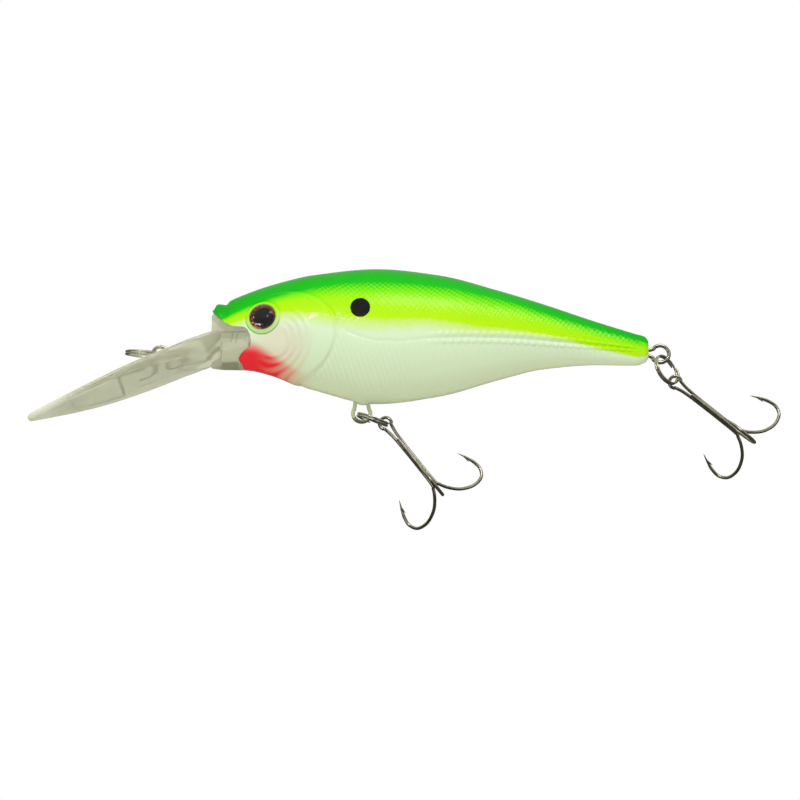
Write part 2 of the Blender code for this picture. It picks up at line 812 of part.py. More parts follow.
def main():
    clear_scene()
    green = material("painted plastic", (0.55, 0.85, 0.12), 0.25)
    clear = material("clear plastic", (0.86, 0.86, 0.78), 0.08, alpha=0.45)
    nickel = material("nickelled wire", (0.62, 0.60, 0.52), 0.22, metallic=1.0)
    hook_steel = material("hook steel", (0.33, 0.32, 0.27), 0.25, metallic=1.0)
    iris = material("iris foil", (0.30, 0.06, 0.03), 0.25, metallic=0.8)
    dome = material("eye dome", (0.95, 0.95, 0.95), 0.03, alpha=0.2)
    lead = material("ballast metal", (0.35, 0.35, 0.36), 0.5, metallic=1.0)
    steel = material("ball steel", (0.65, 0.65, 0.66), 0.15, metallic=1.0)
    body_shells(green)
    diving_lip(clear)
    wire("line_tie_wire", tie_path(), LOOP_WIRE, nickel)
    wire("belly_hanger_wire", hanger_path(BELLY_LOOP), LOOP_WIRE, nickel)
    wire("tail_hanger_wire", hanger_path(TAIL_LOOP), LOOP_WIRE, nickel)
    for prefix, hanger, rig in (
        ("belly", BELLY_LOOP, BELLY_RIG),
        ("tail", TAIL_LOOP, TAIL_RIG),
    ):
        x, z = hanger["at"]
        centre = Vector((x, 0, z))
        ring = split_ring(f"{prefix}_split_ring", centre, rig, nickel)
        set_origin(ring, centre)
        pivot = treble_frame(centre, rig)[4]
        for hook in treble(f"{prefix}_treble", centre, rig, hook_steel):
            set_origin(hook, pivot)
    split_ring("line_tie_split_ring", Vector((0, 0, 0)), TIE_RIG, nickel)
    eye_parts(-1, "left", iris, dome)
    eye_parts(1, "right", iris, dome)
    ballast(lead)
    rattle_balls(steel)


main()
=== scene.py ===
"""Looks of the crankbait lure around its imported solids: a painted shad body with moulded
relief, a clear diving bill, wire eyes, split rings and treble hooks.

Frame: +X runs from nose to tail, +Z is up, the lure's own left side faces -Y, and the
origin is the centre of the line tie's loop. Shapes are worked out in millimetres, and MM
turns them into the frame's metres.
"""

import math

import bmesh
import bpy
import numpy as np
from mathutils import Matrix, Vector


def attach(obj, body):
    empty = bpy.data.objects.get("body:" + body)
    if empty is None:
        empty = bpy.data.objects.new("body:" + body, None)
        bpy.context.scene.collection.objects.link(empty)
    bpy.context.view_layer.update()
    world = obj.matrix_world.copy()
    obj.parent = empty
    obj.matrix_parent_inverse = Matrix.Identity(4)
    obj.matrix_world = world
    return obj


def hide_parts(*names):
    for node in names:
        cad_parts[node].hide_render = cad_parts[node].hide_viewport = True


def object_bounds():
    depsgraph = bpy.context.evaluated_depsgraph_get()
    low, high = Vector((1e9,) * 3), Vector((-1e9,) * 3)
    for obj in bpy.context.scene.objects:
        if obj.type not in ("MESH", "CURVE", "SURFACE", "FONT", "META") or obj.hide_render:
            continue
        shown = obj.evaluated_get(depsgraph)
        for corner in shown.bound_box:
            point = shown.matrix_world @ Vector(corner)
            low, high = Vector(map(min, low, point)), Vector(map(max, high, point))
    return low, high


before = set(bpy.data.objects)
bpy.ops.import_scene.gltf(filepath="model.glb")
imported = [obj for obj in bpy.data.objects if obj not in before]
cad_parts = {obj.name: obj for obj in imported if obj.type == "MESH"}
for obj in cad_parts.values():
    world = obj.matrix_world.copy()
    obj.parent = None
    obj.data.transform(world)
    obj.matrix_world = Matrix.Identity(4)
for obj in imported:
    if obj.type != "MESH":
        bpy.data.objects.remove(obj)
CAD_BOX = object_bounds()

MM = 0.001

# ---- The CAD solids' driving dimensions, in millimetres ----
# X, Y and Z are places in the frame; every other length is a size.
BODY_LENGTH = 70.4
NOSE_X = 8.3
SEAM_GAP = 0.1
FIT_GAP = 0.1

# Stations along the body: share of its length, back height, belly height, half width.
BODY_STATIONS = [
    (0.000, 7.20, -2.35, 1.70),
    (0.022, 8.20, -2.60, 2.50),
    (0.072, 9.82, -2.62, 3.60),
    (0.140, 11.52, -3.50, 4.60),
    (0.230, 13.05, -5.80, 5.55),
    (0.380, 14.08, -8.17, 6.20),
    (0.520, 13.05, -6.95, 5.75),
    (0.660, 10.45, -4.17, 4.35),
    (0.760, 8.25, -2.45, 3.25),
    (0.880, 5.35, -1.80, 2.10),
    (0.970, 3.35, -1.88, 1.45),
    (0.992, 2.90, -1.40, 1.05),
    (1.000, 2.20, -0.70, 0.65),
]
SECTION_FULLNESS = 0.90

# Mouth notch in side view: X and Z from the nose's top down to the throat.
MOUTH_EDGE = [
    (8.2, 7.6), (8.7, 6.4), (10.2, 4.8), (11.8, 3.8), (13.8, 3.4), (14.6, 1.9), (14.6, 0.5),
    (13.5, -0.4), (12.8, -1.5), (13.7, -2.8), (14.0, -5.0),
]

# Bill: X, height of its upper face, half width, thickness, from inside the mouth to the tip.
BILL_STATIONS = [
    (10.5, 4.00, 2.20, 4.90),
    (7.3, 2.75, 4.60, 4.50),
    (3.0, 0.05, 7.10, 2.50),
    (-1.5, -2.15, 7.75, 1.85),
    (-5.5, -3.95, 7.45, 1.60),
    (-9.5, -5.70, 6.45, 1.42),
    (-13.2, -7.20, 5.00, 1.30),
    (-16.6, -8.50, 3.35, 1.18),
    (-19.2, -9.50, 1.95, 1.08),
    (-20.4, -9.98, 1.25, 1.00),
    (-21.0, -10.25, 0.55, 0.80),
]
# Length over which the tip's edge is rounded.
TIP_ROUND = 0.45
TENON = {"x": (12.5, 19.5), "z": (-0.6, 2.2), "half_width": 1.3}
TENON_PIN = {"x": 17.6, "z": 0.8, "r": 0.75}
# The clear head: its top, its gap to the body, and the slot and two slits inside it.
HEAD_TOP = 6.2
HEAD_GAP = 0.08
SLOT = ((9.4, -2.0, 2.95), (16.0, 2.0, 3.15))
SLITS = {"x": (11.7, 12.5), "wide": 0.14, "y": (-1.6, -0.6), "z": (1.5, 3.1), "lean": 12}
GROOVE_GAP = 0.03
# Half the size of the blocks that cut right across the lure.
REACH = 20.0

LOOP_WIRE = 0.64
TIE_LOOP_R = 1.20
TIE_LEG_END_X = 9.0
TIE_TOE_X = -3.4
TIE_DROP = 0.05
# Where the loop starts and ends, and its steps, in degrees from +X.
TIE_ARC_DEG = (-42, 223, 24)
TIE_LEG_X = (5.5, 3.0, 1.9)
TIE_HEEL_X = (-1.75, -2.5)

BELLY_LOOP = {"at": (32.5, -9.9), "r": 1.40, "lean": 90.0, "boss": 4.8, "legs": 1.9}
TAIL_LOOP = {"at": (80.6, 0.0), "r": 1.42, "lean": 173.0, "boss": 5.2, "legs": 0.74}
HANGER_NECK = 0.88
HANGER_SPREAD_DEG = 14.0
HANGER_END_GAP = 0.75

COIL_WIRE = 0.40
COIL_OUTER = 5.4
# Finer and closer than the CAD's coil, which keeps it clear of the hooks' eyes.
COIL_DRAWN = 0.36
COIL_PITCH = 0.40
COIL_TURNS = 1.97
# Where the coil's ends lie round the ring, from the point inside the loop it hangs on.
COIL_START_DEG = 90.0

HOOK_WIRE = 0.54
HOOK_EYE_R = 0.98
HOOK_EYE_SPREAD_DEG = 40.0
HOOK_POINT = 2.6
BARB_BACK = 2.3
BRAZE_GAP = 0.04
BRAZE_SPAN = (3.3, 12.2)
BRAZE_R = 0.39
# One hook of a treble: distance out from the shank's centre line, distance from the eye.
HOOK_CURVE = [
    (0.37, 3.5), (0.37, 12.0), (0.75, 13.4), (1.75, 14.75), (3.30, 15.9), (5.50, 16.45),
    (7.50, 15.95), (8.40, 14.6), (8.25, 13.1), (7.70, 11.8), (6.95, 10.4),
]

# How each split ring and treble hang at rest, in degrees and millimetres, as in the CAD.
VIEW_TILT = 15.0
# cross: distance and heading from the loop's centre to the ring's wire; lean and turn: the
# ring's plane; along: the hook's eye round the ring, off by slack; the rest: the shank.
TAIL_RIG = {
    "cross": (0.32, -68.0), "lean": -69.2, "turn": 49.5, "along": 22.0,
    "slack": (-0.03, -0.05), "shank": -38.9, "swing": 10.4, "roll": 0.0,
}
BELLY_RIG = {
    "cross": (0.56, 189.0), "lean": -21.5, "turn": 80.7, "along": 28.0,
    "slack": (-0.26, -0.11), "shank": -51.0, "swing": 16.3, "roll": -0.3,
}
TIE_RIG = {"cross": (0.50, 190.0), "lean": 175.0, "turn": 101.0}

EYE_AT = (16.6, 5.0)
EYE_FACING = (-0.24, -1.0, 0.10)
EYE_R = 2.1
EYE_POCKET_DEPTH = 0.95
EYE_FOIL = 0.25
EYE_DOME_RIM = 0.35
EYE_DOME_RISE = 0.75
# Air under the foil, and between the foil and the dome.
EYE_AIR = 0.08

# ---- The moulded relief and the paint, which only this script makes ----
BODY_STEPS = 480
BODY_AROUND = 150
# Thickness of the skin with relief, and how far the CAD shell's inside laps into it.
SKIN = 0.8
SKIN_LAP = 0.3
# Shares of the body's length between which the skin is hollow, and its inside is kept.
SKIN_SPAN = (0.012, 0.955)
CORE_SPAN = (0.006, 0.985)
# Deepest hollow of the relief.
RELIEF_DEPTH = 0.45

GILL_CENTRE = (20.5, 2.1)
GILL_RADII = (7.8, 7.2)
GILL_HEIGHT = 0.26
GILL_FURROW = -0.12
CHEEK_CENTRE = (18.3, 1.1)
CHEEK_RIDGES = {"first": 2.6, "pitch": 1.1, "last": 6.3, "height": 0.15}
CHEEK_BOSS = {"at": (23.6, 2.6), "radii": (1.5, 2.4), "height": 0.20}
RIB_PITCH = 0.82
RIB_SLANT = 0.37
TAIL_RIB_SLANT = 0.25
RIB_HEIGHT = 0.13
LATERAL_LINE = [
    (28.4, 3.1), (31.5, 1.6), (35.0, 0.65), (38.0, 0.5), (43.0, 1.05), (57.0, 1.55),
    (64.5, 1.25), (78.0, 0.3),
]
LINE_GROOVE = -0.15
LINE_SCALE_PITCH = 1.2
LINE_SCALE_HEIGHT = 0.21
# How far the two rows of scales stand off the lateral line, at X along it.
LINE_SCALE_OFFSET = [(43.0, 0.66), (60.0, 0.62), (70.0, 0.42), (78.0, 0.24)]
TAIL_RIB_REACH = [(40.0, 4.5), (60.0, 2.6), (78.0, 0.8)]
SCALE_PITCH = (0.92, 0.84)
SCALE_HEIGHT = 0.035
# Rings round the eye and folds across the nose: where, how wide, how high.
EYE_RINGS = [(2.35, 0.26, 0.20), (2.80, 0.13, -0.14)]
NOSE_FOLDS = [(9.3, 0.50, 0.42), (10.5, 0.45, -0.34)]
HANGER_SWELL = {"width": 1.25, "height": 0.55, "narrowing": 1.3}

# Heights of the two paint edges, as shares of the body's height at shares of its length.
CHARTREUSE_EDGE = [
    (0.00, 0.62), (0.05, 0.58), (0.17, 0.60), (0.34, 0.55), (0.48, 0.55), (0.62, 0.50),
    (0.80, 0.43), (0.90, 0.30), (1.00, 0.18),
]
GREEN_EDGE = [
    (0.00, 0.70), (0.05, 0.73), (0.17, 0.80), (0.34, 0.84), (0.66, 0.84), (0.80, 0.78),
    (1.00, 0.73),
]
SPOT_AT = (32.3, 6.1)
SPOT_RADII = (1.6, 1.68)
# Red of the throat: its lower edge and its reach upwards, as Z at X.
BLUSH_FLOOR = [(12.0, -2.9), (15.0, -2.6), (18.0, -3.4), (22.0, -4.9), (27.0, -6.6)]
BLUSH_REACH = [(12.0, 4.6), (14.5, 4.2), (17.5, 3.2), (21.0, 2.1), (27.0, 1.1)]
BLUSH_TRAIL = 0.32
WARM_AT = (19.5, 0.6)
WARM_RADII = (6.0, 4.2)
# Where the bill's plastic clouds towards its tip, and where painted shade darkens it inside the
# head, as X.
BILL_CLOUD_X = (-18.5, -9.5)
HEAD_SHADE_X = (8.0, 10.5)


# ---- Curves and grids ----
def curve_through(points, x):
    """Smooth values at every x through (x, value) points, level at a peak."""
    spots, values = np.array(sorted(points), float).T
    x = np.clip(np.asarray(x, float), spots[0], spots[-1])
    widths = np.diff(spots)
    rates = np.diff(values) / widths
    both = rates[:-1] * rates[1:]
    total = np.where(both > 0, rates[:-1] + rates[1:], 1.0)
    slopes = np.concatenate([rates[:1], np.where(both > 0, 2 * both / total, 0.0), rates[-1:]])
    i = np.clip(np.searchsorted(spots, x, side="right") - 1, 0, len(rates) - 1)
    t = (x - spots[i]) / widths[i]
    return (
        values[i] * (1 + 2 * t) * (1 - t) ** 2
        + slopes[i] * widths[i] * t * (1 - t) ** 2
        + values[i + 1] * t * t * (3 - 2 * t)
        + slopes[i + 1] * widths[i] * t * t * (t - 1)
    )


def spline(points, steps):
    """Catmull-Rom points through the given points, steps to each span."""
    points = [Vector(p) for p in points]
    ends = [2 * points[0] - points[1], *points, 2 * points[-1] - points[-2]]
    out = []
    for i in range(1, len(ends) - 2):
        a, b, c, d = ends[i - 1 : i + 3]
        for k in range(steps):
            t = k / steps
            bend = (2 * a - 5 * b + 4 * c - d) * t**2 + (3 * b - a - 3 * c + d) * t**3
            out.append(0.5 * (2 * b + (c - a) * t + bend))
    return [*out, points[-1].copy()]


def ease(low, high, value):
    """0 below low, 1 above high, and smooth between them."""
    t = np.clip((value - low) / (high - low), 0.0, 1.0)
    return t * t * (3 - 2 * t)


def fade(low, high, value):
    """1 below low, 0 above high, and smooth between them."""
    return 1 - ease(low, high, value)


def hump(distance, width):
    """A bell curve, 1 at no distance."""
    return np.exp(-((distance / width) ** 2))


def oval_reach(x, z, centre, radii):
    """Distance from an oval's centre, 1 on the oval itself."""
    return np.hypot((x - centre[0]) / radii[0], (z - centre[1]) / radii[1])


def station_curves(stations, spots):
    """Each further column of a table of stations, as a curve over its first column."""
    first, *columns = zip(*stations)
    return [curve_through(list(zip(first, column)), spots) for column in columns]


# ---- Meshes ----
def placed(name, data):
    """A new object in the scene."""
    obj = bpy.data.objects.new(name, data)
    bpy.context.scene.collection.objects.link(obj)
    return obj


def vertex_points(mesh):
    """A mesh's vertices in millimetres, as an array."""
    points = np.empty(len(mesh.vertices) * 3)
    mesh.vertices.foreach_get("co", points)
    return points.reshape(-1, 3) / MM


def store(obj, name, values):
    """One number for each vertex, for the materials to read."""
    attribute = obj.data.attributes.new(name, "FLOAT", "POINT")
    attribute.data.foreach_set("value", np.asarray(values, np.float32))


def mesh_object(name, points, faces):
    """A closed mesh object from points in millimetres, its faces turned outwards."""
    mesh = bpy.data.meshes.new(name)
    mesh.from_pydata((np.asarray(points, float) * MM).tolist(), [], faces)
    bm = bmesh.new()
    bm.from_mesh(mesh)
    bmesh.ops.recalc_face_normals(bm, faces=bm.faces)
    bm.to_mesh(mesh)
    bm.free()
    return placed(name, mesh)


def boolean(target, tool, operation):
    """Applied Boolean of two closed meshes; the tool is used up."""
    modifier = target.modifiers.new("join", "BOOLEAN")
    modifier.operation = operation
    modifier.solver = "MANIFOLD"
    modifier.object = tool
    graph = bpy.context.evaluated_depsgraph_get()
    mesh = bpy.data.meshes.new_from_object(target.evaluated_get(graph))
    target.modifiers.clear()
    old = target.data
    target.data = mesh
    bpy.data.meshes.remove(old)
    bpy.data.objects.remove(tool, do_unlink=True)


def ring_faces(count, around):
    """Quads between neighbouring rings of points."""
    faces = []
    for i in range(count - 1):
        a, b = i * around, (i + 1) * around
        for k in range(around):
            after = (k + 1) % around
            faces.append((a + k, a + after, b + after, b + k))
    return faces


def lofted(name, rings):
    """A closed solid through rings of points, with a flat face at each end."""
    count, around = rings.shape[:2]
    faces = ring_faces(count, around)
    faces.append(tuple(range(around)))
    faces.append(tuple(range((count - 1) * around, count * around)))
    return mesh_object(name, rings.reshape(-1, 3), faces)


def tube(name, path, radius, sides=16):
    """A round wire along path, whose radius may be one number or one for each point."""
    path = [Vector(p) for p in path]
    radii = np.broadcast_to(np.asarray(radius, float), (len(path),))
    points = []
    side = None
    for i, point in enumerate(path):
        ahead = (path[min(i + 1, len(path) - 1)] - path[max(i - 1, 0)]).normalized()
        if side is None:
            side = ahead.orthogonal().normalized()
        side = (side - ahead * side.dot(ahead)).normalized()
        other = ahead.cross(side)
        for k in range(sides):
            turn = 2 * math.pi * k / sides
            points.append(point + (side * math.cos(turn) + other * math.sin(turn)) * radii[i])
    return lofted(name, np.array(points).reshape(len(path), sides, 3))


def turned(name, profile, base, axis, sides=72):
    """A solid of revolution: (radius, height) points about an axis, the last may be its tip."""
    turn = Vector(axis).to_track_quat("Z", "Y").to_matrix()
    tip = profile[-1][0] == 0
    rings = profile[:-1] if tip else profile
    points = []
    for radius, height in rings:
        for k in range(sides):
            angle = 2 * math.pi * k / sides
            spot = Vector((radius * math.cos(angle), radius * math.sin(angle), height))
            points.append(base + turn @ spot)
    faces = ring_faces(len(rings), sides)
    faces.append(tuple(range(sides)))
    last = (len(rings) - 1) * sides
    if tip:
        points.append(base + turn @ Vector((0, 0, profile[-1][1])))
        faces += [(last + k, last + (k + 1) % sides, len(points) - 1) for k in range(sides)]
    else:
        faces.append(tuple(range(last, last + sides)))
    return mesh_object(name, points, faces)


SQUARE = ((-1, -1), (1, -1), (1, 1), (-1, 1))


def box(name, low, high, turn_y=0.0):
    """A block between two corners, turned about Y through its middle."""
    middle = (Vector(low) + Vector(high)) / 2
    half = (Vector(high) - Vector(low)) / 2
    turn = Matrix.Rotation(math.radians(turn_y), 3, "Y")
    corners = []
    for x in (-1, 1):
        for y, z in SQUARE:
            corners.append(middle + turn @ Vector((x * half.x, y * half.y, z * half.z)))
    faces = [(0, 1, 2, 3), (4, 5, 6, 7)]
    faces += [(k, (k + 1) % 4, 4 + (k + 1) % 4, 4 + k) for k in range(4)]
    return mesh_object(name, corners, faces)


def prism(name, outline):
    """An outline in X and Z, extruded right across the lure."""
    count = len(outline)
    points = [(x, y, z) for y in (-REACH, REACH) for x, z in outline]
    faces = [tuple(range(count)), tuple(range(count, 2 * count))]
    faces += [(k, (k + 1) % count, count + (k + 1) % count, count + k) for k in range(count)]
    return mesh_object(name, points, faces)


def show(obj, body, slot, *materials, sharp_deg=40.0, replaces=()):
    """Smooth shading, materials, and the piece's place in the frame."""
    obj.data.materials.clear()
    for material in materials:
        obj.data.materials.append(material)
    obj.data.shade_smooth()
    obj.data.set_sharp_from_angle(angle=math.radians(sharp_deg))
    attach(obj, body)
    if replaces:
        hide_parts(*replaces)
    return obj


# ---- Body ----
def body_section(share):
    """Back height, belly height and half width at shares of the body's length."""
    return station_curves(BODY_STATIONS, share)


def body_grid(shares, turns, inset=0.0):
    """Points of the body's form on its left side, at shares of its length and turns in
    radians from the belly up to the back."""
    back, belly, half = (v[:, None] for v in body_section(shares))
    tall = np.maximum((back - belly) / 2 - inset, 0.05)
    wide = np.maximum(half - inset, 0.05)
    across = np.abs(np.sin(turns))[None, :] ** SECTION_FULLNESS
    y = -wide * across
    x = np.broadcast_to((NOSE_X + shares * BODY_LENGTH)[:, None], y.shape)
    z = (back + belly) / 2 - tall * np.cos(turns)[None, :]
    return np.stack([x, y, z], axis=-1)


def body_loft(name, inset=0.0, first=0.0, last=1.0, steps=90, around=72):
    """The body's closed form without relief, or the same form taken in by inset."""
    shares = np.linspace(first, last, steps + 1)
    turns = np.linspace(0, 2 * np.pi, around, endpoint=False)
    points = body_grid(shares, turns, inset)
    points[..., 1] *= np.sign(np.sin(turns))[None, :]
    return lofted(name, points)


def eye_axis(side):
    """Point on the body's surface under the eye, and the outward direction there."""
    x, z = EYE_AT
    back, belly, half = (float(v) for v in body_section((x - NOSE_X) / BODY_LENGTH))
    rise = (z - (back + belly) / 2) / ((back - belly) / 2)
    spot = Vector((x, -half * (1 - rise * rise) ** (SECTION_FULLNESS / 2), z))
    facing = Vector(EYE_FACING).normalized()
    if side > 0:
        facing.y = -facing.y
        spot.y = -spot.y
    return spot, facing


def eye_distance(points):
    """Distance of left-side points from the left eye's axis."""
    spot, facing = eye_axis(-1)
    away = points - np.array(spot)
    along = away @ np.array(facing)
    return np.linalg.norm(away - along[..., None] * np.array(facing), axis=-1)


def gill_measure(x, z):
    """1 on the gill plate's rear edge, less inside it."""
    return oval_reach(x, z, GILL_CENTRE, GILL_RADII)


def cheek_ridges(x, z):
    """Ridges round the cheek, like gill rakers, strongest behind and below it."""
    dx, dz = x - CHEEK_CENTRE[0], z - CHEEK_CENTRE[1]
    r = np.hypot(dx, dz)
    angle = np.degrees(np.arctan2(dz, dx))
    sector = ease(-135, -95, angle) * fade(30, 75, angle)
    first, pitch, last = (CHEEK_RIDGES[k] for k in ("first", "pitch", "last"))
    wave = (0.5 + 0.5 * np.cos(2 * np.pi * (r - first) / pitch)) ** 1.5
    return wave * sector * ease(first - pitch, first, r) * fade(last, last + pitch / 2, r)


def flank_ribs(x, z, belly, line):
    """Slanted ribs behind the gill plate, and shorter ones hanging from the lateral line."""
    front = 0.5 + 0.5 * np.cos(2 * np.pi * (x + RIB_SLANT * z) / RIB_PITCH)
    front *= ease(1.02, 1.10, gill_measure(x, z)) * ease(17.5, 22.0, x) * fade(37.0, 47.0, x)
    front *= fade(-1.2, 0.2, z - line) * ease(0.2, 2.2, z - belly)
    depth = line - z
    slanted = x - TAIL_RIB_SLANT * depth
    rear = 0.5 + 0.5 * np.cos(2 * np.pi * slanted / LINE_SCALE_PITCH)
    rear *= ease(41.0, 46.0, x) * fade(73.0, 77.0, x) * ease(0.2, 0.7, depth)
    rear *= fade(0.35, 1.0, depth / curve_through(TAIL_RIB_REACH, x))
    return front + rear


def line_scales(x, z, line):
    """Two rows of raised scales, one above and one below the lateral line."""
    offset = curve_through(LINE_SCALE_OFFSET, x)
    total = 0.0
    for sign, shift in ((1, 0.0), (-1, 0.5)):
        cell = (x / LINE_SCALE_PITCH + shift) % 1.0 - 0.5
        across = (z - line - sign * offset) / (0.62 * offset)
        dome = np.clip(1 - (cell / 0.46) ** 2 - across**2, 0.0, 1.0)
        total = total + np.sqrt(dome)
    return total * ease(42.0, 46.0, x) * fade(74.5, 77.5, x)


def body_scales(x, arc, z, line):
    """Fine diamond scales on the back and the flank."""
    long, tall = SCALE_PITCH
    wave = np.cos(np.pi * (x / long + arc / tall)) * np.cos(np.pi * (x / long - arc / tall))
    behind = ease(1.05, 1.2, gill_measure(x, z)) * ease(20.0, 25.0, x)
    strength = 0.35 + 0.65 * ease(-0.5, 1.5, z - line)
    strength = strength * ease(0.95, 1.15, oval_reach(x, z, SPOT_AT, SPOT_RADII))
    return np.abs(wave) * behind * strength * fade(74.0, 78.0, x)


def relief(points, arc, belly):
    """Height of the moulded detail over the plain body, in millimetres."""
    x, y, z = (points[..., k] for k in range(3))
    line = curve_through(LATERAL_LINE, x)
    measure = gill_measure(x, z)
    plate = GILL_HEIGHT * fade(0.955, 1.01, measure) * ease(15.5, 22.0, x)
    plate = plate * (0.35 + 0.65 * ease(0.2, 0.95, measure))
    furrow = GILL_FURROW * hump(measure - 1.03, 0.03) * ease(19.0, 23.0, x)
    ridges = CHEEK_RIDGES["height"] * cheek_ridges(x, z) * ease(0.0, 1.6, z - belly)
    boss = hump(oval_reach(x, z, CHEEK_BOSS["at"], CHEEK_BOSS["radii"]), 1.0)
    groove = LINE_GROOVE * hump(z - line, 0.14) * ease(28.6, 31.0, x) * fade(64.0, 73.0, x)
    r = eye_distance(points)
    socket = sum(high * hump(r - place, width) for place, width, high in EYE_RINGS)
    nose = sum(high * hump(x - place, width) for place, width, high in NOSE_FOLDS)
    narrow = y * HANGER_SWELL["narrowing"]
    neck = hump(np.hypot(x - BELLY_LOOP["at"][0], narrow), HANGER_SWELL["width"])
    neck = HANGER_SWELL["height"] * neck * fade(0.5, 2.5, z - belly)
    height = (plate + ridges + CHEEK_BOSS["height"] * boss + furrow) * ease(2.45, 3.2, r)
    height = height + RIB_HEIGHT * flank_ribs(x, z, belly, line) + groove
    height = height + LINE_SCALE_HEIGHT * line_scales(x, z, line)
    height = height + SCALE_HEIGHT * body_scales(x, arc, z, line)
    return height + socket + nose * ease(3.5, 7.0, z) + neck


def outward(points):
    """Unit normals of a grid of points on the left side, pointing away from the body."""
    along = np.gradient(points, axis=0)
    around = np.gradient(points, axis=1)
    normals = np.cross(along, around)
    lengths = np.linalg.norm(normals, axis=-1, keepdims=True)
    normals = normals / np.maximum(lengths, 1e-9)
    middle = points.mean(axis=1, keepdims=True)
    facing = np.sign(((points - middle) * normals).sum(axis=-1).mean())
    return normals * facing


def skin_half(name, side):
    """One half of the body with its relief, as a closed solid up to the seam."""
    shares = np.linspace(0.0, 1.0, BODY_STEPS + 1)
    turns = np.linspace(0.0, np.pi, BODY_AROUND + 1)
    points = body_grid(shares, turns)
    back, belly, half = (v[:, None] for v in body_section(shares))
    arc = turns[None, :] * ((back - belly) / 2 + half) / 2
    height = relief(points, arc, belly)
    points = points + outward(points) * height[..., None]
    points[..., 1] = side * np.maximum(np.abs(points[..., 1]), SEAM_GAP / 2)
    return lofted(name, points)


def mouth_outline(grow=0.0):
    """The mouth notch as a smooth closed outline, taken out by grow."""
    edge = spline([(x + grow, 0, z) for x, z in MOUTH_EDGE], 6)
    return [(p.x, p.z) for p in edge] + [(2.0, MOUTH_EDGE[-1][1]), (2.0, MOUTH_EDGE[0][1])]


def cad_copy(node):
    """A closed copy of a CAD node's mesh."""
    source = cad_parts[node]
    bm = bmesh.new()
    bm.from_mesh(source.data)
    bmesh.ops.remove_doubles(bm, verts=bm.verts, dist=1e-7)
    mesh = bpy.data.meshes.new("inside")
    bm.to_mesh(mesh)
    bm.free()
    return placed("inside", mesh)


def paint_fields(obj):
    """Stores what the paint needs at each vertex: its height in the paint scheme, its
    distance round the section, the throat's blush and the distance from the eye."""
    points = vertex_points(obj.data)
    x, z = points[:, 0], points[:, 2]
    share = (x - NOSE_X) / BODY_LENGTH
    back, belly, half = body_section(share)
    height = np.clip((z - belly) / (back - belly), 0.0, 1.0)
    low = curve_through(CHARTREUSE_EDGE, share)
    high = curve_through(GREEN_EDGE, share)
    paint = np.where(height < low, height / low, 1 + (height - low) / (high - low))
    paint = np.where(height > high, 2 + (height - high) / (1 - high), paint)
    turn = np.arccos(np.clip(1 - 2 * height, -1, 1))
    arc = turn * ((back - belly) / 2 + half) / 2
    left = points * np.array([1, -1, 1])
    left[:, 1] = -np.abs(points[:, 1])
    store(obj, "paint", paint)
    store(obj, "arc", arc)
    store(obj, "blush", blush(x, z))
    store(obj, "eye", eye_distance(left))


def blush(x, z):
    """Red of the throat, deepest at the mouth's corner and trailing along the ridges."""
    level = (z - curve_through(BLUSH_FLOOR, x)) / curve_through(BLUSH_REACH, x)
    deep = fade(0.45, 1.05, level) * fade(15.0, 25.5, x)
    trail = BLUSH_TRAIL * cheek_ridges(x, z) * fade(18.0, 27.0, x) * fade(-2.4, 0.8, z)
    return np.clip(deep + trail, 0.0, 1.0)


def body_shell(side, paint, plastic):
    """A body half: relief outside, the CAD shell's own walls, cells and bosses inside."""
    label = "left" if side < 0 else "right"
    node = f"body_shell_{label}"
    shell = skin_half(f"painted_body_{label}", side)
    boolean(shell, body_loft("hollow", SKIN, *SKIN_SPAN), "DIFFERENCE")
    inside = cad_copy(node)
    boolean(inside, body_loft("core", SKIN - SKIN_LAP, *CORE_SPAN), "INTERSECT")
    boolean(shell, inside, "UNION")
    boolean(shell, prism("mouth", mouth_outline()), "DIFFERENCE")
    spot, facing = eye_axis(side)
    profile = [(EYE_R + FIT_GAP, 0.0), (EYE_R + FIT_GAP, EYE_POCKET_DEPTH + 2.0)]
    socket = turned("socket", profile, spot - facing * EYE_POCKET_DEPTH, facing)
    boolean(shell, socket, "DIFFERENCE")
    paint_fields(shell)
    show(shell, "lure_body", "painted_body", paint, plastic, sharp_deg=50, replaces=[node])
    mark_plastic(shell)
    return shell


def mark_plastic(obj):
    """Gives the second material to faces that lie deeper than any hollow of the relief."""
    points = vertex_points(obj.data)
    back, belly, half = body_section((points[:, 0] - NOSE_X) / BODY_LENGTH)
    level = (points[:, 2] - (back + belly) / 2) / ((back - belly) / 2 - RELIEF_DEPTH)
    across = (np.abs(points[:, 1]) / (half - RELIEF_DEPTH)) ** (2 / SECTION_FULLNESS)
    inside = level**2 + across < 1
    for face in obj.data.polygons:
        if any(inside[v] for v in face.vertices):
            face.material_index = 1


# ---- Bill ----
def bill_level(x):
    """The bill's upper height, half width and thickness at X."""
    return station_curves(BILL_STATIONS, x)


def bill_relief(x, y, wide):
    """Shallow panel, side ribs and crescents on the bill's upper face."""
    away = np.abs(y)
    panel = -0.20 * ease(-14.4, -13.9, x) * fade(-6.7, -6.2, x) * fade(-1.9, -1.5, away - wide)
    ribs = 0.16 * hump(away - 0.60 * wide, 0.28) * ease(-6.0, -3.5, x) * fade(3.0, 5.0, x)
    reach = np.hypot(x + 8.4, y)
    bows = hump(reach - 7.0, 0.16) + hump(reach - 7.7, 0.16)
    return panel + ribs + 0.14 * bows * fade(-14.6, -13.9, x) * fade(2.2, 3.2, away)


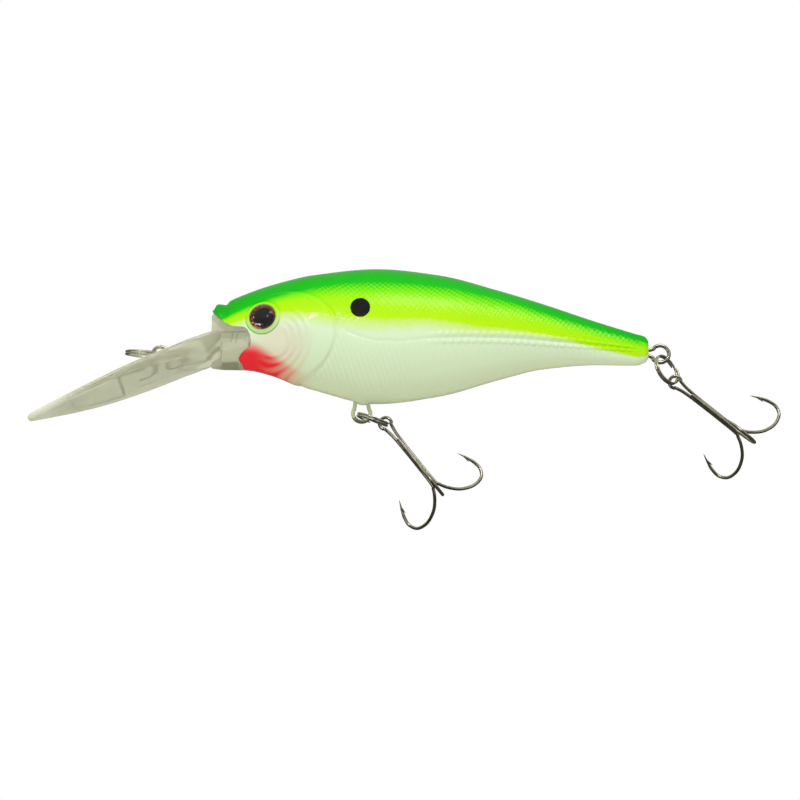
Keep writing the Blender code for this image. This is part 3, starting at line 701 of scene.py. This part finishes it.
def bill_blade():
    """The flat tongue with rounded edges, its upper face with relief, its root with a keel."""
    steps, columns = 150, 56
    first, last = BILL_STATIONS[0][0], BILL_STATIONS[-1][0]
    share = np.linspace(0, 1, steps + 1)
    x = first + (last - first) * (0.5 * share + 0.5 * np.sin(np.pi / 2 * share))
    top, wide, thick = (v[:, None] for v in bill_level(x))
    across = np.linspace(-1, 1, columns + 1)
    across = 0.4 * across + 0.6 * np.sin(np.pi / 2 * across)
    y = wide * across[None, :]
    x = np.broadcast_to(x[:, None], y.shape)
    edge = np.minimum(0.62 * thick, 0.5 * wide)
    inward = np.clip((np.abs(y) - (wide - edge)) / edge, 0.0, 1.0)
    half = thick / 2 * np.sqrt(np.clip(1 - inward**2, 0.0, 1.0))
    flat = half / (thick / 2)
    half = half * np.sqrt(1 - 0.9 * np.clip((last + TIP_ROUND - x) / TIP_ROUND, 0.0, 1.0) ** 2)
    upper = top - thick / 2 + half + bill_relief(x, y, wide) * flat
    keel = 0.55 * hump(y, 1.3) * ease(1.5, 6.0, x)
    lower = top - thick / 2 - half - keel * flat
    over = np.stack([x, y, upper], axis=-1)
    under = np.stack([x, y, lower], axis=-1)[:, 1:-1][:, ::-1]
    return lofted("clear_bill", np.concatenate([over, under], axis=1))


def tie_path(grow=0.0):
    """Line tie wire: leg inside the bill, up round the loop, down and forward to its toe."""

    def level(x):
        top, _, thick = bill_level(x)
        return Vector((x, 0, float(top - thick / 2) - TIE_DROP))

    leg = [level(x) for x in (TIE_LEG_END_X + grow, *TIE_LEG_X)]
    loop = []
    for degrees in range(*TIE_ARC_DEG):
        turn = math.radians(degrees)
        loop.append(Vector((TIE_LOOP_R * math.cos(turn), 0, TIE_LOOP_R * math.sin(turn))))
    toe = [level(x) for x in (*TIE_HEEL_X, TIE_TOE_X - grow)]
    return spline([*leg, *loop, *toe], 6)


def clear_bill(material):
    """The bill with the clear front of the head, its tenon, and the slot inside the mouth."""
    blade = bill_blade()
    head = body_loft("head")
    boolean(head, prism("block", mouth_outline(-HEAD_GAP)), "INTERSECT")
    below = box("below", (-REACH, -REACH, -REACH), (REACH, REACH, HEAD_TOP))
    boolean(head, below, "INTERSECT")
    boolean(blade, head, "UNION")
    low, high = TENON["x"], TENON["z"]
    wide = TENON["half_width"]
    boolean(blade, box("tenon", (low[0], -wide, high[0]), (low[1], wide, high[1])), "UNION")
    x, z = TENON_PIN["x"], TENON_PIN["z"]
    bore = [(TENON_PIN["r"] + FIT_GAP, -5.0), (TENON_PIN["r"] + FIT_GAP, 5.0)]
    boolean(blade, turned("bore", bore, Vector((x, 0, z)), (0, 1, 0)), "DIFFERENCE")
    slot = box("slot", *SLOT)
    for x in SLITS["x"]:
        near, far = zip((x, x + SLITS["wide"]), SLITS["y"], SLITS["z"])
        boolean(slot, box("slit", near, far, SLITS["lean"]), "UNION")
    boolean(blade, slot, "DIFFERENCE")
    groove = tube("groove", tie_path(2 * GROOVE_GAP), LOOP_WIRE / 2 + GROOVE_GAP, 20)
    boolean(blade, groove, "DIFFERENCE")
    blade.name = "clear_diving_bill"
    return show(
        blade, "lure_body", "clear_plastic", material, sharp_deg=32, replaces=["diving_lip"]
    )


# ---- Wires, rings and hooks ----
def loop_direction(hanger):
    lean = math.radians(hanger["lean"])
    return Vector((math.cos(lean), 0, math.sin(lean)))


def hanger_path(hanger):
    """A looped wire: leg end, outer loop, neck, and the inner loop round its boss."""
    along = loop_direction(hanger)
    across = Vector((-along.z, 0, along.x))
    x, z = hanger["at"]
    outer = Vector((x, 0, z))
    inner = outer + along * hanger["boss"]
    half = hanger["legs"] / 2
    radius = hanger["r"]
    opening = math.asin(half / radius) + math.radians(HANGER_SPREAD_DEG)
    leg = outer + along * (radius + HANGER_NECK)
    path = [leg + across * half]
    count = 18
    for k in range(count + 1):
        turn = opening + (2 * math.pi - 2 * opening) * k / count
        path.append(outer + (along * math.cos(turn) + across * math.sin(turn)) * radius)
    path.append(leg - across * half)
    count = 14
    for k in range(count + 1):
        turn = opening + (2 * math.pi - 2 * opening - HANGER_END_GAP) * k / count
        path.append(inner - (along * math.cos(turn) + across * math.sin(turn)) * radius)
    return spline(path, 6)


def coil_radius():
    return (COIL_OUTER - COIL_WIRE) / 2


def rig_frame(centre, rig):
    """The split ring's centre, and the in-plane directions along it and across it."""
    lean = math.radians(rig["lean"])
    along = Vector((math.cos(lean), 0, math.sin(lean)))
    level = Vector((-along.z, 0, along.x))
    turn = math.radians(rig["turn"])
    across = level * math.cos(turn) + Vector((0, math.sin(turn), 0))
    distance, heading = rig["cross"]
    heading = math.radians(heading)
    cross = centre + Vector((math.cos(heading), 0, math.sin(heading))) * distance
    return cross + along * coil_radius(), along, across


def split_ring(name, centre, rig, material, body, node):
    """Two turns of wire side by side, with its ends filed to a slant."""
    middle, along, across = rig_frame(centre, rig)
    normal = across.cross(along)
    steps = 240
    path = []
    for k in range(steps + 1):
        share = k / steps
        turn = 2 * math.pi * COIL_TURNS * share + math.radians(COIL_START_DEG)
        spot = (across * math.sin(turn) - along * math.cos(turn)) * coil_radius()
        path.append(middle + spot + normal * COIL_PITCH * COIL_TURNS * (share - 0.5))
    radii = np.full(steps + 1, COIL_DRAWN / 2)
    for k in range(4):
        radii[k] = radii[-1 - k] = COIL_DRAWN / 2 * (0.55 + 0.45 * k / 4)
    ring = tube(name, path, radii, 14)
    return show(ring, body, "nickel_wire", material, sharp_deg=50, replaces=[node])


def treble_frame(centre, rig):
    """The hook eye's centre, and the shank, outward and sideways directions of a treble."""
    middle, along, across = rig_frame(centre, rig)
    at = math.radians(rig["along"])
    on_ring = middle + (along * math.cos(at) + across * math.sin(at)) * coil_radius()
    tilt = math.radians(VIEW_TILT)
    outward_way = Vector((0, -math.cos(tilt), -math.sin(tilt)))
    upward = Vector((0, -math.sin(tilt), math.cos(tilt)))
    lean, swing = math.radians(rig["shank"]), math.radians(rig["swing"])
    flat = Vector((1, 0, 0)) * math.cos(lean) + upward * math.sin(lean)
    shank = (flat * math.cos(swing) + outward_way * math.sin(swing)).normalized()
    out = (outward_way - shank * outward_way.dot(shank)).normalized()
    out.rotate(Matrix.Rotation(math.radians(rig["roll"]), 3, shank))
    sideways = shank.cross(out)
    eye = on_ring + shank * rig["slack"][0] + sideways * rig["slack"][1]
    return eye, shank, out, sideways


def hook_points(degrees, hang, clearance=0.0):
    """One hook of a treble, from its shank to its point, at this angle about the shank."""
    eye, shank, out, sideways = hang
    turn = math.radians(degrees)
    away = out * math.cos(turn) + sideways * math.sin(turn)
    return [eye + away * (r + clearance) + shank * s for r, s in HOOK_CURVE]


def path_lengths(path):
    steps = [(b - a).length for a, b in zip(path, path[1:])]
    return np.concatenate([[0.0], np.cumsum(steps)])


def point_radii(path, first, last):
    """Wire radius along a hook: full, with a needle point at each wanted end."""
    along = path_lengths(path)
    radii = np.full(len(path), HOOK_WIRE / 2)
    for wanted, distance in ((first, along), (last, along[-1] - along)):
        if wanted:
            taper = 0.06 + 0.94 * np.clip(distance / HOOK_POINT, 0.0, 1.0) ** 0.8
            radii = np.minimum(radii, HOOK_WIRE / 2 * taper)
    return radii


def barb(path, eye):
    """A small spur cut up from the wire behind the hook's point, on its inner side."""
    along = path_lengths(path)
    place = int(np.argmin(np.abs(along[-1] - along - BARB_BACK)))
    point = path[place]
    back = (path[place - 1] - path[place + 1]).normalized()
    inward = (eye - point) - back * (eye - point).dot(back)
    inward.normalize()
    root = point + inward * 0.02 - back * 0.75
    tip = point + inward * 0.52 + back * 0.10
    spur = [root + (tip - root) * k / 6 for k in range(7)]
    return tube("barb", spur, np.linspace(0.24, 0.03, 7), 10)


def treble(prefix, centre, rig, steel, braze):
    """A double hook bent from one wire with the eye, a single hook, and the braze between."""
    hang = treble_frame(centre, rig)
    eye, shank, _, sideways = hang
    body = f"{prefix}_treble"
    spread = math.radians(HOOK_EYE_SPREAD_DEG)
    count = 12
    loop = []
    for k in range(count + 1):
        turn = spread + (2 * math.pi - 2 * spread) * k / count
        loop.append(eye + (shank * math.cos(turn) + sideways * math.sin(turn)) * HOOK_EYE_R)
    sides = [hook_points(120, hang), hook_points(-120, hang)]
    path = spline([*sides[0][::-1], *loop, *sides[1]], 7)
    double = tube(f"{prefix}_double_hook", path, point_radii(path, True, True), 16)
    for bend in (path[::-1], path):
        boolean(double, barb(bend, eye + shank * 10.0), "UNION")
    show(double, body, "hook_steel", steel, sharp_deg=50, replaces=[f"{body}_double_hook"])
    lone = spline(hook_points(0, hang, BRAZE_GAP), 7)
    single = tube(f"{prefix}_single_hook", lone, point_radii(lone, False, True), 16)
    boolean(single, barb(lone, eye + shank * 10.0), "UNION")
    show(single, body, "hook_steel", steel, sharp_deg=50, replaces=[f"{body}_single_hook"])
    seam = [eye + shank * distance for distance in np.linspace(*BRAZE_SPAN, 25)]
    swell = BRAZE_R * np.sin(np.pi * np.linspace(0.08, 0.92, 25)) ** 0.25
    fillet = tube(f"{prefix}_hook_braze", seam, swell, 16)
    show(fillet, body, "hook_steel", braze)


# ---- Eyes ----
def eye(side, foil_paint, dome_paint):
    """A stamped foil disc with a raised pupil, under a clear dome."""
    label = "left" if side < 0 else "right"
    spot, facing = eye_axis(side)
    floor = spot - facing * (EYE_POCKET_DEPTH - EYE_AIR)
    radius = EYE_R - FIT_GAP / 2
    bevel = 0.06
    profile = [(radius, 0.0), (radius, EYE_FOIL - bevel), (radius - bevel, EYE_FOIL)]
    rings = 30
    for k in range(rings + 1):
        r = (radius - bevel - 0.02) * (1 - k / rings)
        dish = 0.05 * float(hump(r - 0.78 * radius, 0.22))
        profile.append((r if k < rings else 0.0, EYE_FOIL - dish))
    foil = turned(f"iris_disc_{label}", profile, floor, facing, 96)
    disc_field(foil, floor, facing)
    show(foil, "lure_body", "iris_foil", foil_paint, replaces=[f"eye_foil_{label}"])
    base = floor + facing * (EYE_FOIL + EYE_AIR)
    arcs = 18
    profile = [(EYE_R - 0.02, 0.0), (EYE_R, EYE_DOME_RIM)]
    for k in range(1, arcs + 1):
        turn = math.pi / 2 * k / arcs
        r = EYE_R * math.cos(turn) if k < arcs else 0.0
        profile.append((r, EYE_DOME_RIM + EYE_DOME_RISE * math.sin(turn)))
    dome = turned(f"clear_eye_dome_{label}", profile, base, facing, 96)
    covered = [f"eye_dome_{label}"]
    show(dome, "lure_body", "eye_dome", dome_paint, sharp_deg=70, replaces=covered)


def disc_field(obj, floor, facing):
    """Stores each vertex's distance from the disc's axis."""
    away = [vertex.co / MM - floor for vertex in obj.data.vertices]
    store(obj, "radius", [(d - facing * d.dot(facing)).length for d in away])


# ---- Materials ----
def srgb(r, g, b):
    """A colour given as 0 to 255 screen values, as the shader's linear ones."""
    out = []
    for value in (r, g, b):
        v = value / 255
        out.append(v / 12.92 if v <= 0.04045 else ((v + 0.055) / 1.055) ** 2.4)
    return (*out, 1.0)


# Colour from belly to back, as place and colour: a third each for the pearl, the
# chartreuse and the green.
PAINT_STOPS = [
    # The pearl darkens towards the belly's underside: painted shade under the belly.
    (0.00, srgb(208, 220, 178)),
    (0.14, srgb(208, 226, 188)),
    (0.27, srgb(214, 234, 196)),
    (0.315, srgb(204, 232, 132)),
    (0.35, srgb(182, 234, 6)),
    (0.52, srgb(160, 232, 2)),
    (0.61, srgb(110, 220, 2)),
    (0.68, srgb(2, 186, 2)),
    (0.80, srgb(0, 172, 4)),
    (1.00, srgb(2, 148, 18)),
]


def node(tree, kind, inputs=None, **settings):
    """A shader node; each input takes a value or another node's output."""
    made = tree.nodes.new(kind)
    for name, value in settings.items():
        setattr(made, name, value)
    for key, value in (inputs or {}).items():
        if isinstance(value, bpy.types.NodeSocket):
            tree.links.new(value, made.inputs[key])
        else:
            made.inputs[key].default_value = value
    return made


def maths(tree, operation, a, b=0.0):
    return node(tree, "ShaderNodeMath", {0: a, 1: b}, operation=operation).outputs[0]


def times(tree, first, *others):
    """The product of all the values."""
    for other in others:
        first = maths(tree, "MULTIPLY", first, other)
    return first


def plus(tree, first, *others):
    """The sum of all the values."""
    for other in others:
        first = maths(tree, "ADD", first, other)
    return first


def band(tree, value, low, high, start=0.0, end=1.0):
    """value taken from low..high to start..end with soft ends."""
    inputs = {"Value": value, "From Min": low, "From Max": high, "To Min": start, "To Max": end}
    return node(tree, "ShaderNodeMapRange", inputs, interpolation_type="SMOOTHSTEP").outputs[0]


def ramp(tree, value, stops):
    """A colour ramp through (place, colour) stops."""
    made = node(tree, "ShaderNodeValToRGB", {"Fac": value})
    elements = made.color_ramp.elements
    while len(elements) < len(stops):
        elements.new(0.5)
    for element, (place, _) in zip(elements, stops):
        element.position = place
    for element, (_, color) in zip(elements, stops):
        element.color = color
    return made.outputs["Color"]


def mix(tree, share, a, b):
    """Colour a turning into colour b as share goes from 0 to 1."""
    made = node(tree, "ShaderNodeMix", data_type="RGBA")
    for key, value in (("Factor", share), ("A", a), ("B", b)):
        socket = [s for s in made.inputs if s.name == key and s.enabled][0]
        if isinstance(value, bpy.types.NodeSocket):
            tree.links.new(value, socket)
        else:
            socket.default_value = value
    return [s for s in made.outputs if s.enabled][0]


def noise(tree, scale, detail=3.0):
    """Noise over the frame's own coordinates; scale is in features to the metre."""
    place = node(tree, "ShaderNodeTexCoord").outputs["Object"]
    inputs = {"Vector": place, "Scale": scale, "Detail": detail}
    return node(tree, "ShaderNodeTexNoise", inputs).outputs["Fac"]


def bump(tree, height, distance, strength=1.0):
    """A normal bent by height; distance is in metres."""
    inputs = {"Height": height, "Distance": distance, "Strength": strength}
    return node(tree, "ShaderNodeBump", inputs).outputs["Normal"]


def new_material(name, **values):
    """A material, its node tree and its Principled shader, with plain socket values."""
    made = bpy.data.materials.new(name)
    made.use_nodes = True
    shader = made.node_tree.nodes["Principled BSDF"]
    for key, value in values.items():
        shader.inputs[key.replace("_", " ")].default_value = value
    return made, made.node_tree, shader


def feed(shader, **outputs):
    """Links node outputs into the shader's sockets."""
    for key, value in outputs.items():
        shader.id_data.links.new(value, shader.inputs[key.replace("_", " ")])


def attribute(tree, name):
    return node(tree, "ShaderNodeAttribute", attribute_name=name).outputs["Fac"]


def side_place(tree):
    """X and Z of the shaded point in millimetres."""
    place = node(tree, "ShaderNodeTexCoord").outputs["Object"]
    parts = node(tree, "ShaderNodeSeparateXYZ", {0: place})
    return [times(tree, parts.outputs[k], 1 / MM) for k in (0, 2)]


def oval_field(tree, x, z, centre, radii):
    """Distance from an oval's centre, 1 on the oval itself."""
    dx = maths(tree, "DIVIDE", maths(tree, "SUBTRACT", x, centre[0]), radii[0])
    dz = maths(tree, "DIVIDE", maths(tree, "SUBTRACT", z, centre[1]), radii[1])
    return maths(tree, "SQRT", plus(tree, times(tree, dx, dx), times(tree, dz, dz)))


def scale_lattice(tree, x, arc):
    """The diamond scales' pattern, from 0 in the furrows to 1 on the scales."""
    long = times(tree, x, math.pi / SCALE_PITCH[0])
    tall = times(tree, arc, math.pi / SCALE_PITCH[1])
    one = maths(tree, "COSINE", plus(tree, long, tall))
    two = maths(tree, "COSINE", maths(tree, "SUBTRACT", long, tall))
    return maths(tree, "ABSOLUTE", times(tree, one, two))


def body_paint():
    """Airbrushed green over chartreuse over pearl, with red throat, under clear lacquer."""
    made, tree, shader = new_material(
        "lure_paint", Coat_Weight=0.25, Coat_Roughness=0.06, Specular_IOR_Level=0.1
    )
    x, z = side_place(tree)
    net = maths(tree, "SUBTRACT", scale_lattice(tree, x, attribute(tree, "arc")), 0.45)
    net = times(tree, net, band(tree, x, 22.0, 27.0))
    speckle = maths(tree, "SUBTRACT", noise(tree, 2600.0, 4.0), 0.5)
    drift = maths(tree, "SUBTRACT", noise(tree, 260.0, 2.0), 0.5)
    height = attribute(tree, "paint")
    frayed = times(tree, net, band(tree, height, 1.2, 1.7), 0.17)
    height = plus(tree, height, frayed, times(tree, speckle, 0.10), times(tree, drift, 0.10))
    color = ramp(tree, maths(tree, "DIVIDE", height, 3.0), PAINT_STOPS)
    warmth = band(tree, oval_field(tree, x, z, WARM_AT, WARM_RADII), 0.3, 1.1, 0.55, 0.0)
    color = mix(tree, warmth, color, srgb(222, 208, 186))
    color = mix(tree, attribute(tree, "blush"), color, srgb(232, 44, 52))
    color = eye_surround(tree, color, z)
    spot = oval_field(tree, x, z, SPOT_AT, SPOT_RADII)
    spot = band(tree, plus(tree, spot, times(tree, speckle, 0.12)), 0.96, 1.03, 1.0, 0.0)
    color = mix(tree, spot, color, srgb(14, 12, 9))
    grain = plus(tree, times(tree, net, 0.6), noise(tree, 1500.0))
    feed(
        shader,
        Base_Color=color,
        Roughness=band(tree, noise(tree, 700.0), 0.3, 0.7, 0.18, 0.30),
        Normal=bump(tree, grain, 0.00002, 0.35),
    )
    return made


def eye_surround(tree, color, z):
    """Chartreuse rim round the eye and a green line in the groove below it."""
    r = attribute(tree, "eye")
    rim = times(tree, band(tree, r, 2.40, 2.62, 1.0, 0.0), 0.8)
    color = mix(tree, rim, color, srgb(170, 222, 30))
    line = times(tree, band(tree, r, 2.62, 2.74), band(tree, r, 2.84, 2.98, 1.0, 0.0))
    lower = band(tree, z, 3.4, 5.6, 0.8, 0.0)
    return mix(tree, times(tree, line, lower), color, srgb(92, 190, 14))


def bare_plastic():
    """Unpainted moulded plastic inside the body and at the mouth's edge."""
    made, tree, shader = new_material("bare_plastic", Roughness=0.32, Specular_IOR_Level=0.5)
    cloud = band(tree, noise(tree, 400.0), 0.3, 0.7)
    feed(
        shader,
        Base_Color=mix(tree, cloud, srgb(200, 204, 176), srgb(214, 216, 190)),
        Normal=bump(tree, noise(tree, 2500.0), 0.00001, 0.4),
    )
    return made


def clear_plastic(name, tint, roughness, clear, ripple, shine):
    """Clear moulded plastic with faint flow marks; clear is its share of passing light."""
    made, tree, shader = new_material(
        name, IOR=1.46, Transmission_Weight=clear, Specular_IOR_Level=shine
    )
    flow = noise(tree, 320.0, 2.0)
    darker = tuple(0.94 * v for v in tint[:3]) + (1.0,)
    feed(
        shader,
        Base_Color=mix(tree, band(tree, flow, 0.35, 0.65), darker, tint),
        Roughness=band(tree, noise(tree, 900.0), 0.3, 0.7, roughness, roughness * 2),
        Normal=bump(tree, flow, 0.00002, ripple),
    )
    return made


def bill_plastic():
    """The bill's plastic, clouding towards its thin tip, with painted shade darkening it inside
    the head.
    """
    clear = 0.68
    tint = srgb(232, 234, 206)
    made = clear_plastic("clear_bill", tint, roughness=0.08, clear=clear, ripple=0.3, shine=0.5)
    tree = made.node_tree
    shader = tree.nodes["Principled BSDF"]
    x, _ = side_place(tree)
    marked = shader.inputs["Base Color"].links[0].from_socket
    # Painted shade: the plastic's colour turns darker inside the head.
    inside = band(tree, x, *HEAD_SHADE_X)
    feed(
        shader,
        Transmission_Weight=band(tree, x, *BILL_CLOUD_X, 0.10, clear),
        Base_Color=mix(tree, inside, marked, srgb(206, 208, 176)),
    )
    return made


def wire_metal(name, light, dark, roughness, grain=3000.0):
    """Plated wire: cloudy plating that is darker and lighter at random, and fine drawing marks.
    """
    made, tree, shader = new_material(name, Metallic=1.0)
    cloud = band(tree, noise(tree, 900.0), 0.32, 0.68)
    fine = noise(tree, grain, 1.0)
    feed(
        shader,
        Base_Color=mix(tree, cloud, srgb(*dark), srgb(*light)),
        Roughness=band(tree, fine, 0.3, 0.7, roughness * 0.75, roughness * 1.4),
        Normal=bump(tree, fine, 0.000002, 0.1),
    )
    return made


def painted_wire():
    """Wire under the body's pale paint, worn to metal where the split ring rubs."""
    made, tree, shader = new_material(
        "painted_wire", Roughness=0.3, Coat_Weight=0.6, Coat_Roughness=0.08
    )
    _, z = side_place(tree)
    chips = noise(tree, 1400.0, 4.0)
    rubbed = BELLY_LOOP["at"][1]
    worn = band(tree, z, rubbed - 1.3, rubbed + 0.2, 0.65, 0.25)
    bare = times(tree, maths(tree, "LESS_THAN", chips, worn), 0.75)
    feed(
        shader,
        Base_Color=mix(tree, bare, srgb(186, 196, 146), srgb(140, 138, 116)),
        Metallic=bare,
        Normal=bump(tree, chips, 0.00001, 0.5),
    )
    return made


def iris_paint():
    """Metallic red-brown foil with bright flecks, a black pupil and a dark rim."""
    made, tree, shader = new_material("iris_print")
    r = attribute(tree, "radius")
    flecks = noise(tree, 2400.0, 5.0)
    grain = band(tree, flecks, 0.42, 0.66)
    color = mix(tree, grain, srgb(96, 26, 12), srgb(200, 84, 58))
    color = mix(tree, band(tree, r, 1.84, 1.98), color, srgb(58, 20, 10))
    pupil = band(tree, r, 1.48, 1.54, 1.0, 0.0)
    foil = maths(tree, "SUBTRACT", 1.0, pupil)
    feed(
        shader,
        Base_Color=mix(tree, pupil, color, srgb(10, 8, 7)),
        Metallic=band(tree, pupil, 0.0, 1.0, 0.75, 0.0),
        Roughness=band(tree, flecks, 0.3, 0.7, 0.22, 0.42),
        Specular_IOR_Level=times(tree, foil, 0.1),
        Normal=bump(tree, times(tree, flecks, foil), 0.00002, 0.25),
    )
    return made


# ---- Studio ----
# In metres and degrees; the lens in millimetres.
FLOOR_DROP = 0.30
FLOOR_HALF = 30.0
VIEW_ELEVATION = -15.0
VIEW_DISTANCE = 0.5
VIEW_LENS = 140.2
# Where the camera aims, in metres from the middle of the CAD model's box.
AIM_OFFSET = (-0.00089, 0.0, -0.00080)
# Name, place and size in metres, the place from the middle of the CAD model's box, watts,
# and whether lacquer and metal mirror it.
SOFTBOXES = [
    ("key_light", (-0.18, -0.42, 0.42), (0.12, 0.10), 0.8, False),
    ("spark_light", (-0.1, -0.5, 0.25), (0.03, 0.03), 0.12, True),
    ("upper_light", (0.1, -0.42, 0.40), (0.22, 0.12), 0.40, True),
    ("patch_light", (-0.30, -0.45, -0.08), (0.16, 0.16), 0.12, True),
    ("top_light", (0.05, 0.05, 0.6), (0.4, 0.25), 0.5, False),
    ("fill_light", (0.45, -0.45, 0.05), (0.3, 0.4), 0.2, True),
]
# The tent's light from below to above, as other surfaces see it and as mirrors see it.
TENT = [(0.0, 0.34), (0.45, 0.5), (1.0, 0.95)]
MIRRORED_TENT = [(0.0, (0.06, 0.05)), (0.6, (0.10, 0.09)), (1.0, (0.60, 0.58))]


def box_middle():
    low, high = CAD_BOX
    return (low + high) / 2


def studio_floor():
    material, tree, shader = new_material("studio_floor", Roughness=0.8)
    tone = band(tree, noise(tree, 3.0), 0.3, 0.7)
    feed(shader, Base_Color=mix(tree, tone, (0.86, 0.86, 0.85, 1), (0.88, 0.88, 0.87, 1)))
    floor = bpy.data.meshes.new("floor")
    level = CAD_BOX[0].z - FLOOR_DROP
    corners = [(x * FLOOR_HALF, y * FLOOR_HALF, level) for x, y in SQUARE]
    floor.from_pydata(corners, [], [(0, 1, 2, 3)])
    floor.materials.append(material)
    obj = placed("floor", floor)
    obj.visible_glossy = False


def studio_world():
    """White behind the object, and a soft tent of light that is brighter above."""
    world = bpy.data.worlds.new("studio")
    bpy.context.scene.world = world
    world.use_nodes = True
    tree = world.node_tree
    shader = tree.nodes["Background"]
    way = node(tree, "ShaderNodeTexCoord").outputs["Generated"]
    parts = node(tree, "ShaderNodeSeparateXYZ", {0: way}).outputs
    height = band(tree, parts[2], -1.0, 1.0)
    tent = ramp(tree, height, [(place, (v, v, v, 1)) for place, v in TENT])
    mirrored = ramp(tree, height, [(place, (v, v, b, 1)) for place, (v, b) in MIRRORED_TENT])
    rays = node(tree, "ShaderNodeLightPath").outputs
    passed = rays["Is Transmission Ray"]
    tent = mix(tree, maths(tree, "MAXIMUM", rays["Is Glossy Ray"], passed), tent, mirrored)
    behind = times(tree, passed, band(tree, parts[1], 0.0, 0.4))
    seen = maths(tree, "MAXIMUM", rays["Is Camera Ray"], behind)
    feed(shader, Color=mix(tree, seen, tent, (1.0, 1.0, 1.0, 1.0)))


def softbox(name, offset, size, power, mirrored):
    """A rectangular lamp aimed at the lure."""
    lamp = bpy.data.lights.new(name, "AREA")
    lamp.shape = "RECTANGLE"
    lamp.size, lamp.size_y = size
    lamp.energy = power
    obj = placed(name, lamp)
    obj.location = box_middle() + Vector(offset)
    obj.rotation_mode = "QUATERNION"
    obj.rotation_quaternion = (-Vector(offset)).to_track_quat("-Z", "Y")
    obj.visible_glossy = mirrored


def studio_camera():
    tilt = math.radians(VIEW_ELEVATION)
    back = Vector((0, -math.cos(tilt), math.sin(tilt)))
    camera = placed("camera", bpy.data.cameras.new("camera"))
    camera.data.lens = VIEW_LENS
    camera.data.clip_start = 0.01
    camera.location = box_middle() + Vector(AIM_OFFSET) + back * VIEW_DISTANCE
    camera.rotation_mode = "QUATERNION"
    camera.rotation_quaternion = (-back).to_track_quat("-Z", "Y")
    bpy.context.scene.camera = camera


def studio():
    studio_floor()
    studio_world()
    for entry in SOFTBOXES:
        softbox(*entry)
    studio_camera()
    bpy.context.scene.view_settings.view_transform = "Standard"


# ---- The lure ----
def lure():
    paint, plastic = body_paint(), bare_plastic()
    for side in (-1, 1):
        body_shell(side, paint, plastic)
    clear_bill(bill_plastic())
    nickel = wire_metal("nickel_plate", (226, 222, 204), (206, 202, 184), 0.14)
    steel = wire_metal("hook_plate", (198, 194, 172), (172, 168, 146), 0.17)
    braze = wire_metal("silver_braze", (206, 200, 178), (170, 165, 144), 0.28, grain=2000.0)
    tie = tube("line_tie", tie_path(), LOOP_WIRE / 2, 18)
    show(tie, "lure_body", "nickel_wire", nickel, replaces=["line_tie_wire"])
    origin = Vector((0, 0, 0))
    split_ring("line_ring_coil", origin, TIE_RIG, nickel, "line_ring", "line_tie_split_ring")
    for prefix, hanger, rig, coat in (
        ("belly", BELLY_LOOP, BELLY_RIG, painted_wire()),
        ("tail", TAIL_LOOP, TAIL_RIG, nickel),
    ):
        x, z = hanger["at"]
        centre = Vector((x, 0, z))
        eyelet = tube(f"{prefix}_hanger", hanger_path(hanger), LOOP_WIRE / 2, 18)
        show(eyelet, "lure_body", "nickel_wire", coat, replaces=[f"{prefix}_hanger_wire"])
        ring = f"{prefix}_ring"
        split_ring(f"{ring}_coil", centre, rig, nickel, ring, f"{prefix}_split_ring")
        treble(prefix, centre, rig, steel, braze)
    iris = iris_paint()
    tint = (0.98, 0.98, 0.97, 1.0)
    dome = clear_plastic("eye_lens", tint, roughness=0.02, clear=1.0, ripple=0.02, shine=0.3)
    for side in (-1, 1):
        eye(side, iris, dome)
    inner_metal()


def inner_metal():
    """The hidden weights keep their CAD solids, with cast lead and polished steel on them."""
    lead = wire_metal("cast_lead", (150, 150, 154), (108, 108, 112), 0.5, grain=1200.0)
    steel = wire_metal("ball_steel", (206, 206, 208), (180, 180, 184), 0.12)
    balls = [f"rattle_ball_{place}" for place in ("front", "middle", "rear")]
    for name in ("ballast_weight", *balls):
        material = steel if name in balls else lead
        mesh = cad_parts[name].data
        mesh.materials.clear()
        mesh.materials.append(material)


lure()
studio()
